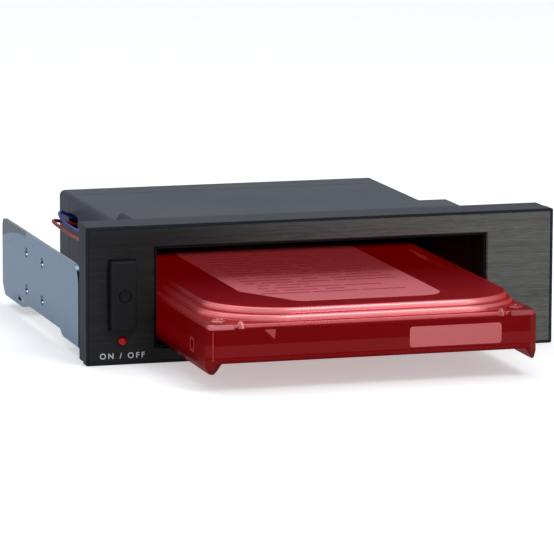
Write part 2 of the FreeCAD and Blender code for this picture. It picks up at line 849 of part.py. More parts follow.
def build_cage_floor():
    body = new_body("cage_floor")
    length = s.cage_depth - s.cap_wall
    pad_box(body, XY, floor_under, s.floor_thickness, -cage_inner, cage_inner, 0, length)
    runner_end = backplane_front - s.socket_depth
    for side in (-1, 1):
        outer = drive_half - s.runner_inset
        ends = (side * outer, side * (outer - s.runner_width))
        left, right = sorted(ends, key=lambda d: d.value)
        pad_box(body, XY, s.floor_top, s.runner_rise, left, right, 0, runner_end)
    # two rows of cooling slots
    slots = new_sketch(body, XY, s.floor_top)
    for column in range(5):
        near_edge = s.vent_first + column * s.vent_pitch
        for side in (-1, 1):
            ends = (side * (s.vent_row_gap / 2), side * (s.vent_row_gap / 2 + s.vent_length))
            left, right = sorted(ends, key=lambda d: d.value)
            add_rectangle(slots, left, right, near_edge, near_edge + s.vent_width)
    cut(body, slots, s.floor_thickness)
    # stiffening ribs underneath
    for side in (-1, 1):
        middle = side * s.rib_place
        pad_box(body, XY, floor_under, s.rib_height, middle - s.rib_width / 2,
                middle + s.rib_width / 2, s.foot_front_start, length, False)
    chamfer(body, s.floor_thickness / 2, lambda p: near(p.y, 0) and near(p.z, s.floor_top)
            and abs(p.x) < cage_inner.value + 1e-4)


def build_rear_cover():
    body = new_body("rear_cover")
    pad_box(body, XZ, -shell_length, s.cap_length, -cage_half, cage_half,
            floor_under, cage_top, False)
    round_roof_corners(body, shell_length, s.cage_depth)
    chamfer(body, s.seam_bevel, lambda p: near(p.y, shell_length) and p.z > s.floor_top.value)
    cut_box(body, XZ, -shell_length, s.cap_length - s.cap_wall, -cage_inner, cage_inner,
            0, roof_under)
    # tubes for the two cover screws, and posts for the backplane
    pad_rounds(body, XZ, -shell_length, s.cap_length, cap_posts, s.cap_post_radius, False)
    pad_rounds(body, XZ, -backplane_back, s.backplane_post, backplane_screws, s.post_radius, False)
    cut_rounds(body, XZ, -shell_length, s.cap_length, cap_posts, screw_hole)
    cut_rounds(body, XZ, -backplane_back, s.backplane_post + s.cap_wall, backplane_screws, screw_hole)
    # openings for the two ports, and a row of cooling slots below them
    openings = new_sketch(body, XZ, -s.cage_depth)
    for middle, width in ((-s.data_port_offset, data_port_width), (s.power_port_offset, power_port_width)):
        half = width / 2 + s.port_gap
        tall = s.port_inner_height / 2 + s.port_wall + s.port_gap
        add_rectangle(openings, middle - half, middle + half, port_height - tall,
                      port_height + tall)
    for column in range(-6, 7):
        middle = column * s.rear_vent_pitch
        add_rectangle(openings, middle - s.rear_vent_width / 2, middle + s.rear_vent_width / 2,
                      s.rear_vent_low, s.rear_vent_low + s.rear_vent_height)
    cut(body, openings, s.cap_wall, along_normal=True)


def build_leaf_spring(name, side):
    """A bowed strip in the side wall's window: its tails lie on the wall's outer face."""
    outside = cage_half.value
    crown = drive_half.value + s.leaf_gap.value
    thick = s.leaf_thickness.value
    start = s.window_start.value
    end = s.window_end.value
    tail = s.leaf_tail.value
    middle = (start + end) / 2

    def face(shift):
        """The strip's inner or outer face in plan: tail, bow, tail."""
        near_end = Vector(outside + shift, start, 0)
        far_end = Vector(outside + shift, end, 0)
        bow = Part.Arc(near_end, Vector(crown + shift, middle, 0), far_end)
        return near_end, far_end, bow

    inner_start, inner_end, inner_bow = face(0.0)
    outer_start, outer_end, outer_bow = face(thick)
    inner_tip = Vector(outside, start - tail, 0)
    outer_tip = Vector(outside + thick, start - tail, 0)
    inner_tail = Vector(outside, end + tail, 0)
    outer_tail = Vector(outside + thick, end + tail, 0)
    edges = [
        Part.LineSegment(inner_tip, inner_start),
        inner_bow,
        Part.LineSegment(inner_end, inner_tail),
        Part.LineSegment(inner_tail, outer_tail),
        Part.LineSegment(outer_tail, outer_end),
        outer_bow,
        Part.LineSegment(outer_start, outer_tip),
        Part.LineSegment(outer_tip, inner_tip),
    ]
    wire = Part.Wire(Part.__sortEdges__([edge.toShape() for edge in edges]))
    strip = Part.Face(wire).extrude(Vector(0, 0, s.leaf_height.value))
    if side < 0:
        strip = strip.mirror(Vector(0, 0, 0), Vector(1, 0, 0))
    feature = new_feature(name, strip)
    place(feature, 0, 0, (s.window_low + s.window_high - s.leaf_height) / 2)


def build_bracket(name, side):
    """A folded steel side plate with two flanges that reach in under the cage's feet."""
    body = new_body(name)
    outer = bracket_outer
    thick = s.bracket_thickness
    tab_bottom = floor_under - thick
    web = new_sketch(body, YZ, outer - thick if side > 0 else -outer)
    add_outline(web, [
        (s.bracket_front, tab_bottom),
        (s.tab_front_end, tab_bottom),
        (s.tab_front_end + s.tab_front_slope, s.bracket_web_bottom),
        (tab_rear_start - s.tab_rear_slope, s.bracket_web_bottom),
        (tab_rear_start, tab_bottom),
        (tab_rear_end, tab_bottom),
        (bracket_rear, tab_bottom + bracket_rear - tab_rear_end),
        (bracket_rear, s.bracket_top),
        (s.bracket_front, s.bracket_top),
    ])
    pad(body, web, thick)
    fillet(body, s.bracket_corner_round, lambda p: near(p.y, s.bracket_front)
           and near(p.z, s.bracket_top))
    fillet(body, s.bracket_small_round, lambda p: near(p.y, bracket_rear)
           and p.z > s.bracket_web_bottom.value, Vector(1, 0, 0))
    for start, end in ((s.bracket_front, s.tab_front_end), (tab_rear_start, tab_rear_end)):
        ends = (side * outer, side * (outer - s.flange_reach))
        left, right = sorted(ends, key=lambda d: d.value)
        pad_box(body, XY, tab_bottom, thick, left, right, start, end)
    fillet(body, thick, lambda p: near(p.x, side * outer) and near(p.z, tab_bottom))
    inner_bend = outer - thick
    fillet(body, s.bracket_bend_round, lambda p: near(p.x, side * inner_bend)
           and near(p.z, tab_bottom + thick))
    holes = [
        (s.side_hole_first + column * s.side_hole_pitch, s.side_hole_low + row * s.side_hole_rise)
        for column in (0, 1)
        for row in (0, 1)
    ]
    cut_rounds(body, YZ, side * outer, thick, holes, s.side_hole_radius, side < 0)
    slot_low = floor_under + thick / 2
    slot_start = tab_rear_start - s.bend_slot_ahead
    cut_box(body, YZ, side * outer, thick, slot_start, slot_start + s.bend_slot_length,
            slot_low + s.bend_slot_height / 2, slot_low + s.bend_slot_height * 1.5, side < 0)
    screws = [(side * foot_screw_x, y) for y in foot_screw_y]
    cut_rounds(body, XY, tab_bottom, thick, screws, s.bracket_screw_radius + s.hole_play, True)


# ---------------------------------------------------------------------------------------------
# Backplane and connectors
# ---------------------------------------------------------------------------------------------
data_port_width = s.signal_tongue + 2 * (s.port_inner_gap + s.port_wall)
power_port_width = s.power_tongue + 2 * (s.port_inner_gap + s.port_wall)


def build_backplane():
    body = new_body("backplane_board")
    half = backplane_half
    pad_box(body, XZ, -backplane_front, s.backplane_thickness, -half, half,
            s.backplane_bottom, backplane_top, False)
    cut_rounds(body, XZ, -backplane_front, s.backplane_thickness, backplane_screws, screw_hole)


def tongue_outline(sketch, left, right, leg_at_right, gap=0.0):
    """Front view of one keyed contact tongue: a blade with a short leg at one end."""
    low = -s.tongue_thickness / 2 - gap
    high = s.tongue_thickness / 2 + gap
    foot = low - s.key_leg
    if leg_at_right:
        step = right - s.tongue_thickness - gap
        add_outline(sketch, [(left - gap, low), (step, low), (step, foot), (right + gap, foot),
                             (right + gap, high), (left - gap, high)])
    else:
        step = left + s.tongue_thickness + gap
        add_outline(sketch, [(right + gap, low), (step, low), (step, foot), (left - gap, foot),
                             (left - gap, high), (right + gap, high)])


# across the drive connector, from the signal end (outer side) to the power end
signal_right = s.tongue_span / 2
signal_left = signal_right - s.signal_tongue
power_left = -s.tongue_span / 2
power_right = power_left + s.power_tongue


def build_socket():
    """The socket that the drive's plug pushes into: two keyed slots in one housing."""
    body = new_body("drive_socket")
    half = s.socket_width / 2
    tall = s.socket_height / 2
    pad_box(body, XZ, 0, s.socket_depth, -half, half, -tall, tall)
    chamfer(body, s.tongue_thickness / 2, lambda p: near(p.y, -s.socket_depth))
    slots = new_sketch(body, XZ, s.socket_depth)
    tongue_outline(slots, signal_left, signal_right, True, s.tongue_gap)
    tongue_outline(slots, power_left, power_right, False, s.tongue_gap)
    cut(body, slots, s.socket_bore)
    place(body, s.socket_offset, backplane_front, tongue_z)


def contact_row(first, count, y_start, z_low, length):
    """Contact strips at the connector's pitch."""
    strips = []
    for index in range(count):
        x = first + index * s.contact_pitch.value - s.contact_width.value / 2
        corner = Vector(x, y_start, z_low)
        strips.append(Part.makeBox(s.contact_width.value, length, s.contact_thickness.value, corner))
    return strips


def contacts(count_signal, count_power, y_start, z_low, length):
    """The signal and the power contacts of one connector, centred on their tongues."""
    pitch = s.contact_pitch.value
    signal_middle = (signal_left.value + signal_right.value) / 2
    power_middle = (power_left.value + power_right.value) / 2
    rows = contact_row(signal_middle - (count_signal - 1) * pitch / 2, count_signal,
                       y_start, z_low, length)
    rows += contact_row(power_middle - (count_power - 1) * pitch / 2, count_power,
                        y_start, z_low, length)
    return Part.makeCompound(rows)


def build_socket_contacts():
    """Contacts lie against the roof of the socket's slots, clear of the drive's tongue."""
    top = s.tongue_thickness.value / 2 + s.tongue_gap.value
    depth = s.socket_bore.value
    start = -s.socket_depth.value + (depth - s.contact_length.value)
    shape = contacts(7, 15, start, top - s.contact_thickness.value, s.contact_length.value)
    feature = new_feature("socket_contacts", shape)
    place(feature, s.socket_offset, backplane_front, tongue_z)


def build_port(name, width, middle, tongue_width, pins):
    """A port on the back of the board: a shroud, a keyed tongue and its contacts."""
    body = new_body(name)
    half = width / 2
    tall = s.port_inner_height / 2 + s.port_wall
    pad_box(body, XZ, 0, s.port_depth, -half, half, -tall, tall, False)
    inner = new_sketch(body, XZ, -s.port_depth)
    add_rectangle(inner, -half + s.port_wall, half - s.port_wall, -tall + s.port_wall,
                  tall - s.port_wall)
    cut(body, inner, s.port_depth - s.port_floor, along_normal=True)
    blade = new_sketch(body, XZ, -s.port_floor)
    tongue_outline(blade, -tongue_width / 2, tongue_width / 2, True)
    pad(body, blade, s.port_depth - s.port_floor - s.port_wall, along_normal=False)
    place(body, middle, backplane_back, port_height)
    top = s.tongue_thickness.value / 2
    first = -(pins - 1) * s.contact_pitch.value / 2
    length = (s.port_depth - s.port_floor - s.port_wall * 1.5).value
    strips = Part.makeCompound(contact_row(first, pins, s.port_floor.value, top, length))
    feature = new_feature(name + "_contacts", strips)
    place(feature, middle, backplane_back, port_height)


# ---------------------------------------------------------------------------------------------
# Leads
# ---------------------------------------------------------------------------------------------
BLUE_ROUTE = [
    (-61.0, 9.8, 29.0), (-60.6, 19.0, 29.3), (-59.2, 31.0, 29.8), (-57.8, 44.0, 29.8),
    (-57.3, 55.0, 29.2), (-57.6, 66.0, 28.8), (-58.2, 74.5, 29.0), (-58.6, 80.8, 30.3),
    (-58.3, 85.0, 31.5), (-56.6, 87.8, 31.4), (-53.9, 89.0, 29.8), (-50.6, 88.0, 28.5),
    (-46.6, 85.2, 27.8), (-41.4, 82.6, 27.4), (-36.6, 81.4, 27.2), (-33.2, 85.0, 27.2),
    (-32.5, 89.3, 27.2),
]
RED_ROUTE = [
    (-63.0, 9.8, 27.2), (-62.6, 19.0, 27.2), (-61.2, 31.0, 27.5), (-59.6, 44.0, 27.6),
    (-58.8, 55.0, 27.3), (-58.6, 65.5, 27.0), (-58.9, 75.0, 27.3), (-59.7, 81.6, 28.0),
    (-60.0, 86.6, 28.5), (-58.7, 90.0, 28.4), (-55.6, 91.2, 27.6), (-52.2, 89.6, 26.9),
    (-47.8, 86.8, 26.2), (-42.2, 84.4, 25.8), (-38.2, 83.8, 25.7), (-35.4, 86.0, 25.6),
    (-34.5, 89.3, 25.6),
]


def build_lead(name, route):
    """A thin wire: straight runs joined by tangent arcs, as large as the runs allow."""
    points = [Vector(*place_at) for place_at in route]
    edges = []
    radii = []
    start = points[0]
    for before, corner, after in zip(points, points[1:], points[2:]):
        back = (before - corner).normalize()
        ahead = (after - corner).normalize()
        turn = math.pi - back.getAngle(ahead)
        reach = 0.45 * min((before - corner).Length, (after - corner).Length)
        radii.append(reach / math.tan(turn / 2))
        arc_start = corner + back * reach
        arc_end = corner + ahead * reach
        bisector = (back + ahead).normalize()
        centre_distance = radii[-1] / math.cos(turn / 2)
        arc_middle = corner + bisector * (centre_distance - radii[-1])
        edges.append(Part.LineSegment(start, arc_start).toShape())
        edges.append(Part.Arc(arc_start, arc_middle, arc_end).toShape())
        start = arc_end
    edges.append(Part.LineSegment(start, points[-1]).toShape())
    path = Part.Wire(edges)
    heading = (points[1] - points[0]).normalize()
    section = Part.Wire(Part.makeCircle(s.lead_radius.value, points[0], heading))
    tube = path.makePipeShell([section], True, True)
    expected = math.pi * s.lead_radius.value ** 2 * path.Length
    print("%s: length %.1f mm, radii %s, volume %.4f of expected" % (
        name, path.Length, " ".join("%.1f" % r for r in radii), tube.Volume / expected))
    new_feature(name, tube)


def build_lead_plug(name, middle_x, y_board, middle_z, direction):
    """A two-way plug on its header: its block stands on a board, the leads leave its outer end."""
    body = new_body(name)
    half = s.lead_plug_width / 2
    tall = s.lead_plug_height / 2
    pad_box(body, XZ, 0, s.lead_plug_length, -half, half, -tall, tall, direction < 0)
    outer = (s.lead_plug_length if direction > 0 else -s.lead_plug_length)
    chamfer(body, s.lead_radius, lambda p: near(p.y, outer))
    step = new_sketch(body, XZ, -outer)
    add_rectangle(step, -half / 2, half / 2, tall - s.lead_radius, tall)
    cut(body, step, s.lead_plug_length / 2, direction > 0)
    place(body, middle_x, y_board, middle_z)


# ---------------------------------------------------------------------------------------------
# Screws
# ---------------------------------------------------------------------------------------------
def screw_group(name, seats, direction, radius, grip, head_radius, head_height):
    """All the screws of one kind as one node of separate solids."""
    shapes = [screw(Vector(*seat), direction, radius, grip, head_radius, head_height)
              for seat in seats]
    return new_feature(name, Part.makeCompound(shapes))


def build_screws():
    small = (s.screw_radius, s.screw_grip, s.screw_head_radius, s.screw_head_height)
    forward = Vector(0, -1, 0)
    seats = [(x.value, s.ear_thickness.value, Dim.of(z).value) for x, z in ear_places]
    ear_head = s.ear_width / 2 - 0.35
    screw_group("bezel_screws", seats, forward, s.screw_radius, s.screw_grip, ear_head,
                s.screw_head_height)
    board_back = (s.front_board_stand + s.front_board_thickness).value
    seats = [(x.value, board_back, z.value) for x, z in board_posts]
    screw_group("switch_board_screws", seats, forward, s.screw_radius, s.screw_grip,
                s.board_post_radius, s.screw_head_height)
    seats = [(x.value, s.cage_depth.value, z.value) for x, z in cap_posts]
    screw_group("rear_cover_screws", seats, forward, s.screw_radius,
                s.screw_grip + s.cap_length, s.screw_head_radius, s.screw_head_height)
    seats = [(x.value, backplane_front.value, z.value) for x, z in backplane_screws]
    screw_group("backplane_screws", seats, Vector(0, 1, 0), *small)
    under = (floor_under - s.bracket_thickness).value
    seats = [(side * foot_screw_x.value, y.value, under) for side in (-1, 1) for y in foot_screw_y]
    screw_group("bracket_screws", seats, Vector(0, 0, 1), s.bracket_screw_radius,
                s.bracket_screw_grip + s.bracket_thickness, s.bracket_screw_head,
                s.screw_head_height)


# ---------------------------------------------------------------------------------------------
# Drive
# ---------------------------------------------------------------------------------------------
def in_drive(piece):
    """Places a piece of the drive with the rest of it."""
    place(piece, 0, drive_front, drive_under)


plug_half = s.socket_width / 2 + s.plug_clearance
plug_tall = s.socket_height / 2 + s.plug_clearance
side_holes_y = [s.drive_length - s.drive_side_hole_rear,
                s.drive_length - s.drive_side_hole_rear - s.drive_side_hole_pitch]
base_holes = [
    (side * (drive_half - s.drive_base_hole_inset), s.drive_length - s.drive_base_hole_rear - step * s.drive_base_hole_pitch)
    for side in (-1, 1)
    for step in (0, 1)
]
cover_screw_places = [
    (side * (drive_half - s.cover_screw_side), y)
    for side in (-1, 1)
    for y in (s.cover_screw_front, s.drive_length - s.cover_screw_rear)
]
board_screw_places = [
    (side * (drive_board_half - s.drive_board_screw_inset), y)
    for side in (-1, 1)
    for y in (drive_board_front + s.drive_board_screw_inset,
              drive_board_rear - s.drive_board_screw_inset)
]


def build_drive_base():
    """Die casting: side rails, raised front edge, side and base screw holes, motor recess."""
    body = new_body("drive_base")
    tip = drive_half - s.rail_tip
    root = drive_half - s.rail_root
    top = casting_top
    relief = s.rail_relief
    section = new_sketch(body, XZ)
    add_outline(section, [
        (-drive_half + relief, 0), (-tip, 0), (-root, s.drive_lip), (root, s.drive_lip), (tip, 0),
        (drive_half - relief, 0), (drive_half, relief * 2), (drive_half, top), (-drive_half, top),
        (-drive_half, relief * 2),
    ])
    pad(body, section, s.drive_length, along_normal=False)
    chamfer(body, s.drive_corner_bevel, lambda p: abs(abs(p.x) - drive_half.value) < 1e-4
            and near(p.y, 0) and p.z > relief.value)
    pad_rounds(body, XY, 0, s.drive_lip * 1.5, base_holes, s.drive_boss_radius)
    cut_rounds(body, XY, 0, s.drive_base_hole_depth, base_holes, s.drive_side_hole_radius, True)
    holes = [(y, s.drive_side_hole_height) for y in side_holes_y]
    cut_rounds(body, YZ, -drive_half, s.drive_side_hole_depth, holes, s.drive_side_hole_radius, True)
    cut_rounds(body, YZ, drive_half, s.drive_side_hole_depth, holes, s.drive_side_hole_radius)
    # space for the circuit board under the casting, and the recess round the motor
    board = drive_board_half + s.drive_board_gap
    cut_box(body, XY, s.drive_lip, s.drive_board_cavity, -board, board,
            drive_board_front - s.drive_board_gap, drive_board_rear + s.drive_board_gap, True)
    cut_rounds(body, XY, s.drive_lip, s.drive_board_cavity, [(0, motor_place)],
               s.motor_radius + s.motor_gap, True)
    # bay for the plug at the back
    outer_half = plug_half + s.plug_wall
    outer_tall = plug_tall + s.plug_wall
    cut_box(body, XZ, -s.drive_length, s.plug_depth + s.plug_floor, s.socket_offset - outer_half,
            s.socket_offset + outer_half, s.tongue_height - outer_tall,
            s.tongue_height + outer_tall, True)
    posts = [(x, y) for x, y in board_screw_places]
    pad_rounds(body, XY, s.drive_lip + s.drive_board_thickness, s.drive_board_cavity, posts,
               s.cover_screw_head)
    cut_rounds(body, XY, s.drive_lip, s.cover_screw_grip + s.hole_relief, posts, cover_hole, True)
    cut_rounds(body, XY, top, s.cover_screw_grip - s.cover_flange + s.hole_relief,
               cover_screw_places, cover_hole)
    in_drive(body)


def tier(body, z_low, height, side_inset, front_inset, rear_inset, front_round, rear_round):
    """One pressed tier of the drive's cover: a plate with rounded plan corners."""
    sketch = new_sketch(body, XY, z_low)
    add_rounded_rectangle(sketch, drive_half - side_inset, front_inset,
                          s.drive_length - rear_inset, front_round, rear_round)
    pad(body, sketch, height)
    return z_low + height


def build_drive_cover():
    """Pressed cover: a flange, a bright step and the raised middle with large front corners."""
    body = new_body("drive_cover")
    flange_top = tier(body, casting_top, s.cover_flange, s.cover_inset_side,
                      s.cover_inset_front, s.cover_inset_rear, s.cover_screw_head,
                      s.cover_screw_head)
    step_top = tier(body, flange_top, s.cover_step, s.step_inset_side, s.step_inset_front,
                    s.step_inset_rear, s.step_front_round, s.step_rear_round)
    fillet(body, s.cover_press_round, lambda p: near(p.z, step_top))
    top = tier(body, step_top, s.cover_rise, s.plateau_inset_side, s.plateau_inset_front,
               s.plateau_inset_rear, s.plateau_front_round, s.plateau_rear_round)
    fillet(body, s.cover_press_round, lambda p: near(p.z, top))
    cut_rounds(body, XY, flange_top, s.cover_flange, cover_screw_places, cover_hole)
    in_drive(body)


def build_drive_fittings():
    flange_top = casting_top + s.cover_flange
    seats = [(x.value, y.value, flange_top.value) for x, y in cover_screw_places]
    in_drive(screw_group("cover_screws", seats, Vector(0, 0, -1), s.cover_screw_radius,
                         s.cover_screw_grip, s.cover_screw_head, s.cover_screw_head_height))
    board = new_body("drive_board")
    pad_box(board, XY, s.drive_lip, s.drive_board_thickness, -drive_board_half,
            drive_board_half, drive_board_front, drive_board_rear)
    cut_rounds(board, XY, s.drive_lip, s.drive_board_thickness, board_screw_places, cover_hole, True)
    in_drive(board)
    seats = [(x.value, y.value, s.drive_lip.value) for x, y in board_screw_places]
    in_drive(screw_group("drive_board_screws", seats, Vector(0, 0, 1), s.cover_screw_radius,
                         s.cover_screw_grip, s.cover_screw_head, s.cover_screw_head_height))
    motor = new_body("spindle_motor")
    motor_low = s.drive_lip + s.drive_board_cavity - s.motor_height - s.motor_gap
    pad_rounds(motor, XY, motor_low, s.motor_height + s.motor_gap, [(0, motor_place)],
               s.motor_radius)
    chamfer(motor, s.motor_gap, lambda p: near(p.z, motor_low))
    in_drive(motor)


def build_drive_plug():
    """The drive's plug: a shroud round two keyed tongues, in the back of the casting."""
    body = new_body("drive_plug")
    outer_half = plug_half + s.plug_wall
    outer_tall = plug_tall + s.plug_wall
    depth = s.plug_depth + s.plug_floor
    pad_box(body, XZ, 0, depth, -outer_half, outer_half, -outer_tall, outer_tall)
    cut_box(body, XZ, 0, s.plug_depth, -plug_half, plug_half, -plug_tall, plug_tall, True)
    blades = new_sketch(body, XZ, s.plug_depth)
    tongue_outline(blades, signal_left, signal_right, True)
    tongue_outline(blades, power_left, power_right, False)
    pad(body, blades, s.tongue_length, along_normal=False)
    # the contacts lie flush in a shallow recess along each tongue
    top = s.tongue_thickness / 2
    low = top - s.contact_thickness
    recess = new_sketch(body, XZ, s.plug_depth)
    for left, right, pins in ((signal_left, signal_right, 7), (power_left, power_right, 15)):
        middle = (left + right) / 2
        reach = (pins - 1) * s.contact_pitch / 2 + s.contact_width / 2 + s.contact_margin
        add_rectangle(recess, middle - reach, middle + reach, low, top)
    cut(body, recess, s.contact_length)
    row = contacts(7, 15, -s.plug_depth.value, low.value, s.contact_length.value)
    strips = new_feature("drive_plug_contacts", row)
    for piece in (body, strips):
        place(piece, s.socket_offset, drive_front + s.drive_length, tongue_z)


def check_and_export():
    """Stops on any failed object, then writes each node's STEP file."""
    doc.recompute()
    bad = [o.Name for o in doc.Objects if "Invalid" in o.State or "Error" in o.State]
    for part in parts:
        if part.Shape.isNull() or not part.Shape.isValid() or not part.Shape.Solids:
            bad.append(part.Label)
    if bad:
        raise RuntimeError("failed objects: " + ", ".join(bad))
    os.makedirs("parts", exist_ok=True)
    for part in parts:
        part.Shape.exportStep("parts/" + part.Label + ".step")
        print("%-22s solids %2d  volume %9.1f" % (part.Label, len(part.Shape.Solids), part.Shape.Volume))


build_front_bezel()
build_face_plate()
build_power_key()
build_switch()
build_switch_board()
build_light()
build_cage_shell()
build_cage_floor()
build_rear_cover()
build_leaf_spring("left_leaf_spring", -1)
build_leaf_spring("right_leaf_spring", 1)
build_bracket("left_bracket", -1)
build_bracket("right_bracket", 1)
build_backplane()
build_socket()
build_socket_contacts()
build_port("data_port", data_port_width, -s.data_port_offset, s.signal_tongue, 7)
build_port("power_port", power_port_width, s.power_port_offset, s.power_tongue, 15)
board_rear = s.front_board_stand + s.front_board_thickness
build_lead_plug("front_lead_plug", s.lead_plug_shift_front - key_offset, board_rear,
                front_board_top - s.lead_plug_drop_front, 1)
build_lead_plug("rear_lead_plug", s.lead_plug_shift_rear - backplane_half, backplane_front,
                backplane_top - s.lead_plug_drop_rear, -1)
build_lead("blue_lead", BLUE_ROUTE)
build_lead("red_lead", RED_ROUTE)
build_screws()
build_drive_base()
build_drive_cover()
build_drive_fittings()
build_drive_plug()
check_and_export()
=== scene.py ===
"""Finishes, fine pieces, studio and camera for a hot swap drive cage with its 3.5 inch drive.

The frame is the solid model's own: metres, X to the right, Y back into the bay, Z up, with the
origin at the middle of the bezel's bottom edge in the plane of the bezel's back face.
"""

import json
import logging
import math
from dataclasses import dataclass, field
from enum import Enum
from itertools import product
from typing import Callable, Mapping, Sequence

import bmesh
import bpy
from mathutils import Matrix, Vector

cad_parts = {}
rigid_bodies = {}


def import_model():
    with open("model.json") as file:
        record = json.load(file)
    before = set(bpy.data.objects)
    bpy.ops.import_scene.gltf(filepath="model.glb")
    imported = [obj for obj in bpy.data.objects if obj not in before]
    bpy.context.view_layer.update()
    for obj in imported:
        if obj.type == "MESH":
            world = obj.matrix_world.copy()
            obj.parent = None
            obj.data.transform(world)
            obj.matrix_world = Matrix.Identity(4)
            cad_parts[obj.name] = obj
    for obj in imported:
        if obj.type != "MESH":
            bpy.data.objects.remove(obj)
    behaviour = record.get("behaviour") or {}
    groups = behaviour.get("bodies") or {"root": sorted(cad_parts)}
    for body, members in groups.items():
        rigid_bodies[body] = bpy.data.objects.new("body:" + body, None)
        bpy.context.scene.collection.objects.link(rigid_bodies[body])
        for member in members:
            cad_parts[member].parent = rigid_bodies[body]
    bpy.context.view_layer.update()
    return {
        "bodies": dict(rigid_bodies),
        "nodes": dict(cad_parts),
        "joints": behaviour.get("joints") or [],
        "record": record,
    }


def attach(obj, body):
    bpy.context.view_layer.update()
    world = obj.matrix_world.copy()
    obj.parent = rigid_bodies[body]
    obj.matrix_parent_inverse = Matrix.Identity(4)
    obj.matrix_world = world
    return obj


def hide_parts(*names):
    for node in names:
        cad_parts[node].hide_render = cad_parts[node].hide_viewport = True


LOG = logging.getLogger("drive_cage")
MM = 0.001
LEAST = 0.001 * MM  # a pole's radius, and how near points of the solids count as one

Colour = tuple[float, float, float]
Point = tuple[float, float, float]
Pair = tuple[float, float]
Frame = Mapping[str, object]
Material = bpy.types.Material

BLACK: Colour = (0.0, 0.0, 0.0)
WHITE: Colour = (1.0, 1.0, 1.0)


class Body(Enum):
    """The rigid bodies that pieces ride on."""

    CAGE = "cage"
    KEY = "power_key"
    DRIVE = "drive"


def tone(red: int, green: int, blue: int) -> Colour:
    """Turns a display colour into the linear one that shaders use.

    Args:
        red: Display value, 0 to 255.
        green: Display value, 0 to 255.
        blue: Display value, 0 to 255.

    Returns:
        The linear colour.
    """

    def channel(value: int) -> float:
        """Returns one linear channel."""
        part = value / 255
        return part / 12.92 if part <= 0.04045 else ((part + 0.055) / 1.055) ** 2.4

    return channel(red), channel(green), channel(blue)


def scaled(colour: Colour, factor: float) -> Colour:
    """Returns the colour made lighter or darker by a factor."""
    return tuple(channel * factor for channel in colour)


# -------------------------------------------------------------------------------- shader writing
class Signal:
    """A shader socket with arithmetic: an expression on signals adds its Math nodes."""

    def __init__(self, shader: "Shader", socket: bpy.types.NodeSocket) -> None:
        """Wraps an output socket of one of the shader's nodes."""
        self.shader = shader
        self.socket = socket

    def _math(self, operation: str, left: "Signal | float", right: "Signal | float") -> "Signal":
        """Adds one Math node and returns its result."""
        return self.shader.node("ShaderNodeMath", {"operation": operation}, {0: left, 1: right})

    def __add__(self, other: "Signal | float") -> "Signal":
        """Returns the sum."""
        return self._math("ADD", self, other)

    __radd__ = __add__

    def __sub__(self, other: "Signal | float") -> "Signal":
        """Returns the difference."""
        return self._math("SUBTRACT", self, other)

    def __rsub__(self, other: float) -> "Signal":
        """Returns a number less the signal."""
        return self._math("SUBTRACT", other, self)

    def __mul__(self, other: "Signal | float") -> "Signal":
        """Returns the product."""
        return self._math("MULTIPLY", self, other)

    __rmul__ = __mul__

    def __mod__(self, other: float) -> "Signal":
        """Returns the distance past the last whole multiple, never below zero."""
        return self._math("FLOORED_MODULO", self, other)

    def __gt__(self, other: "Signal | float") -> "Signal":
        """Returns 1 where the signal is greater, else 0."""
        return self._math("GREATER_THAN", self, other)

    def __lt__(self, other: "Signal | float") -> "Signal":
        """Returns 1 where the signal is less, else 0."""
        return self._math("LESS_THAN", self, other)

    def __abs__(self) -> "Signal":
        """Returns the size without its sign."""
        return self._math("ABSOLUTE", self, 0.0)

    def limited(self) -> "Signal":
        """Returns the signal held between 0 and 1."""
        return self.shader.node("ShaderNodeClamp", {}, {0: self})


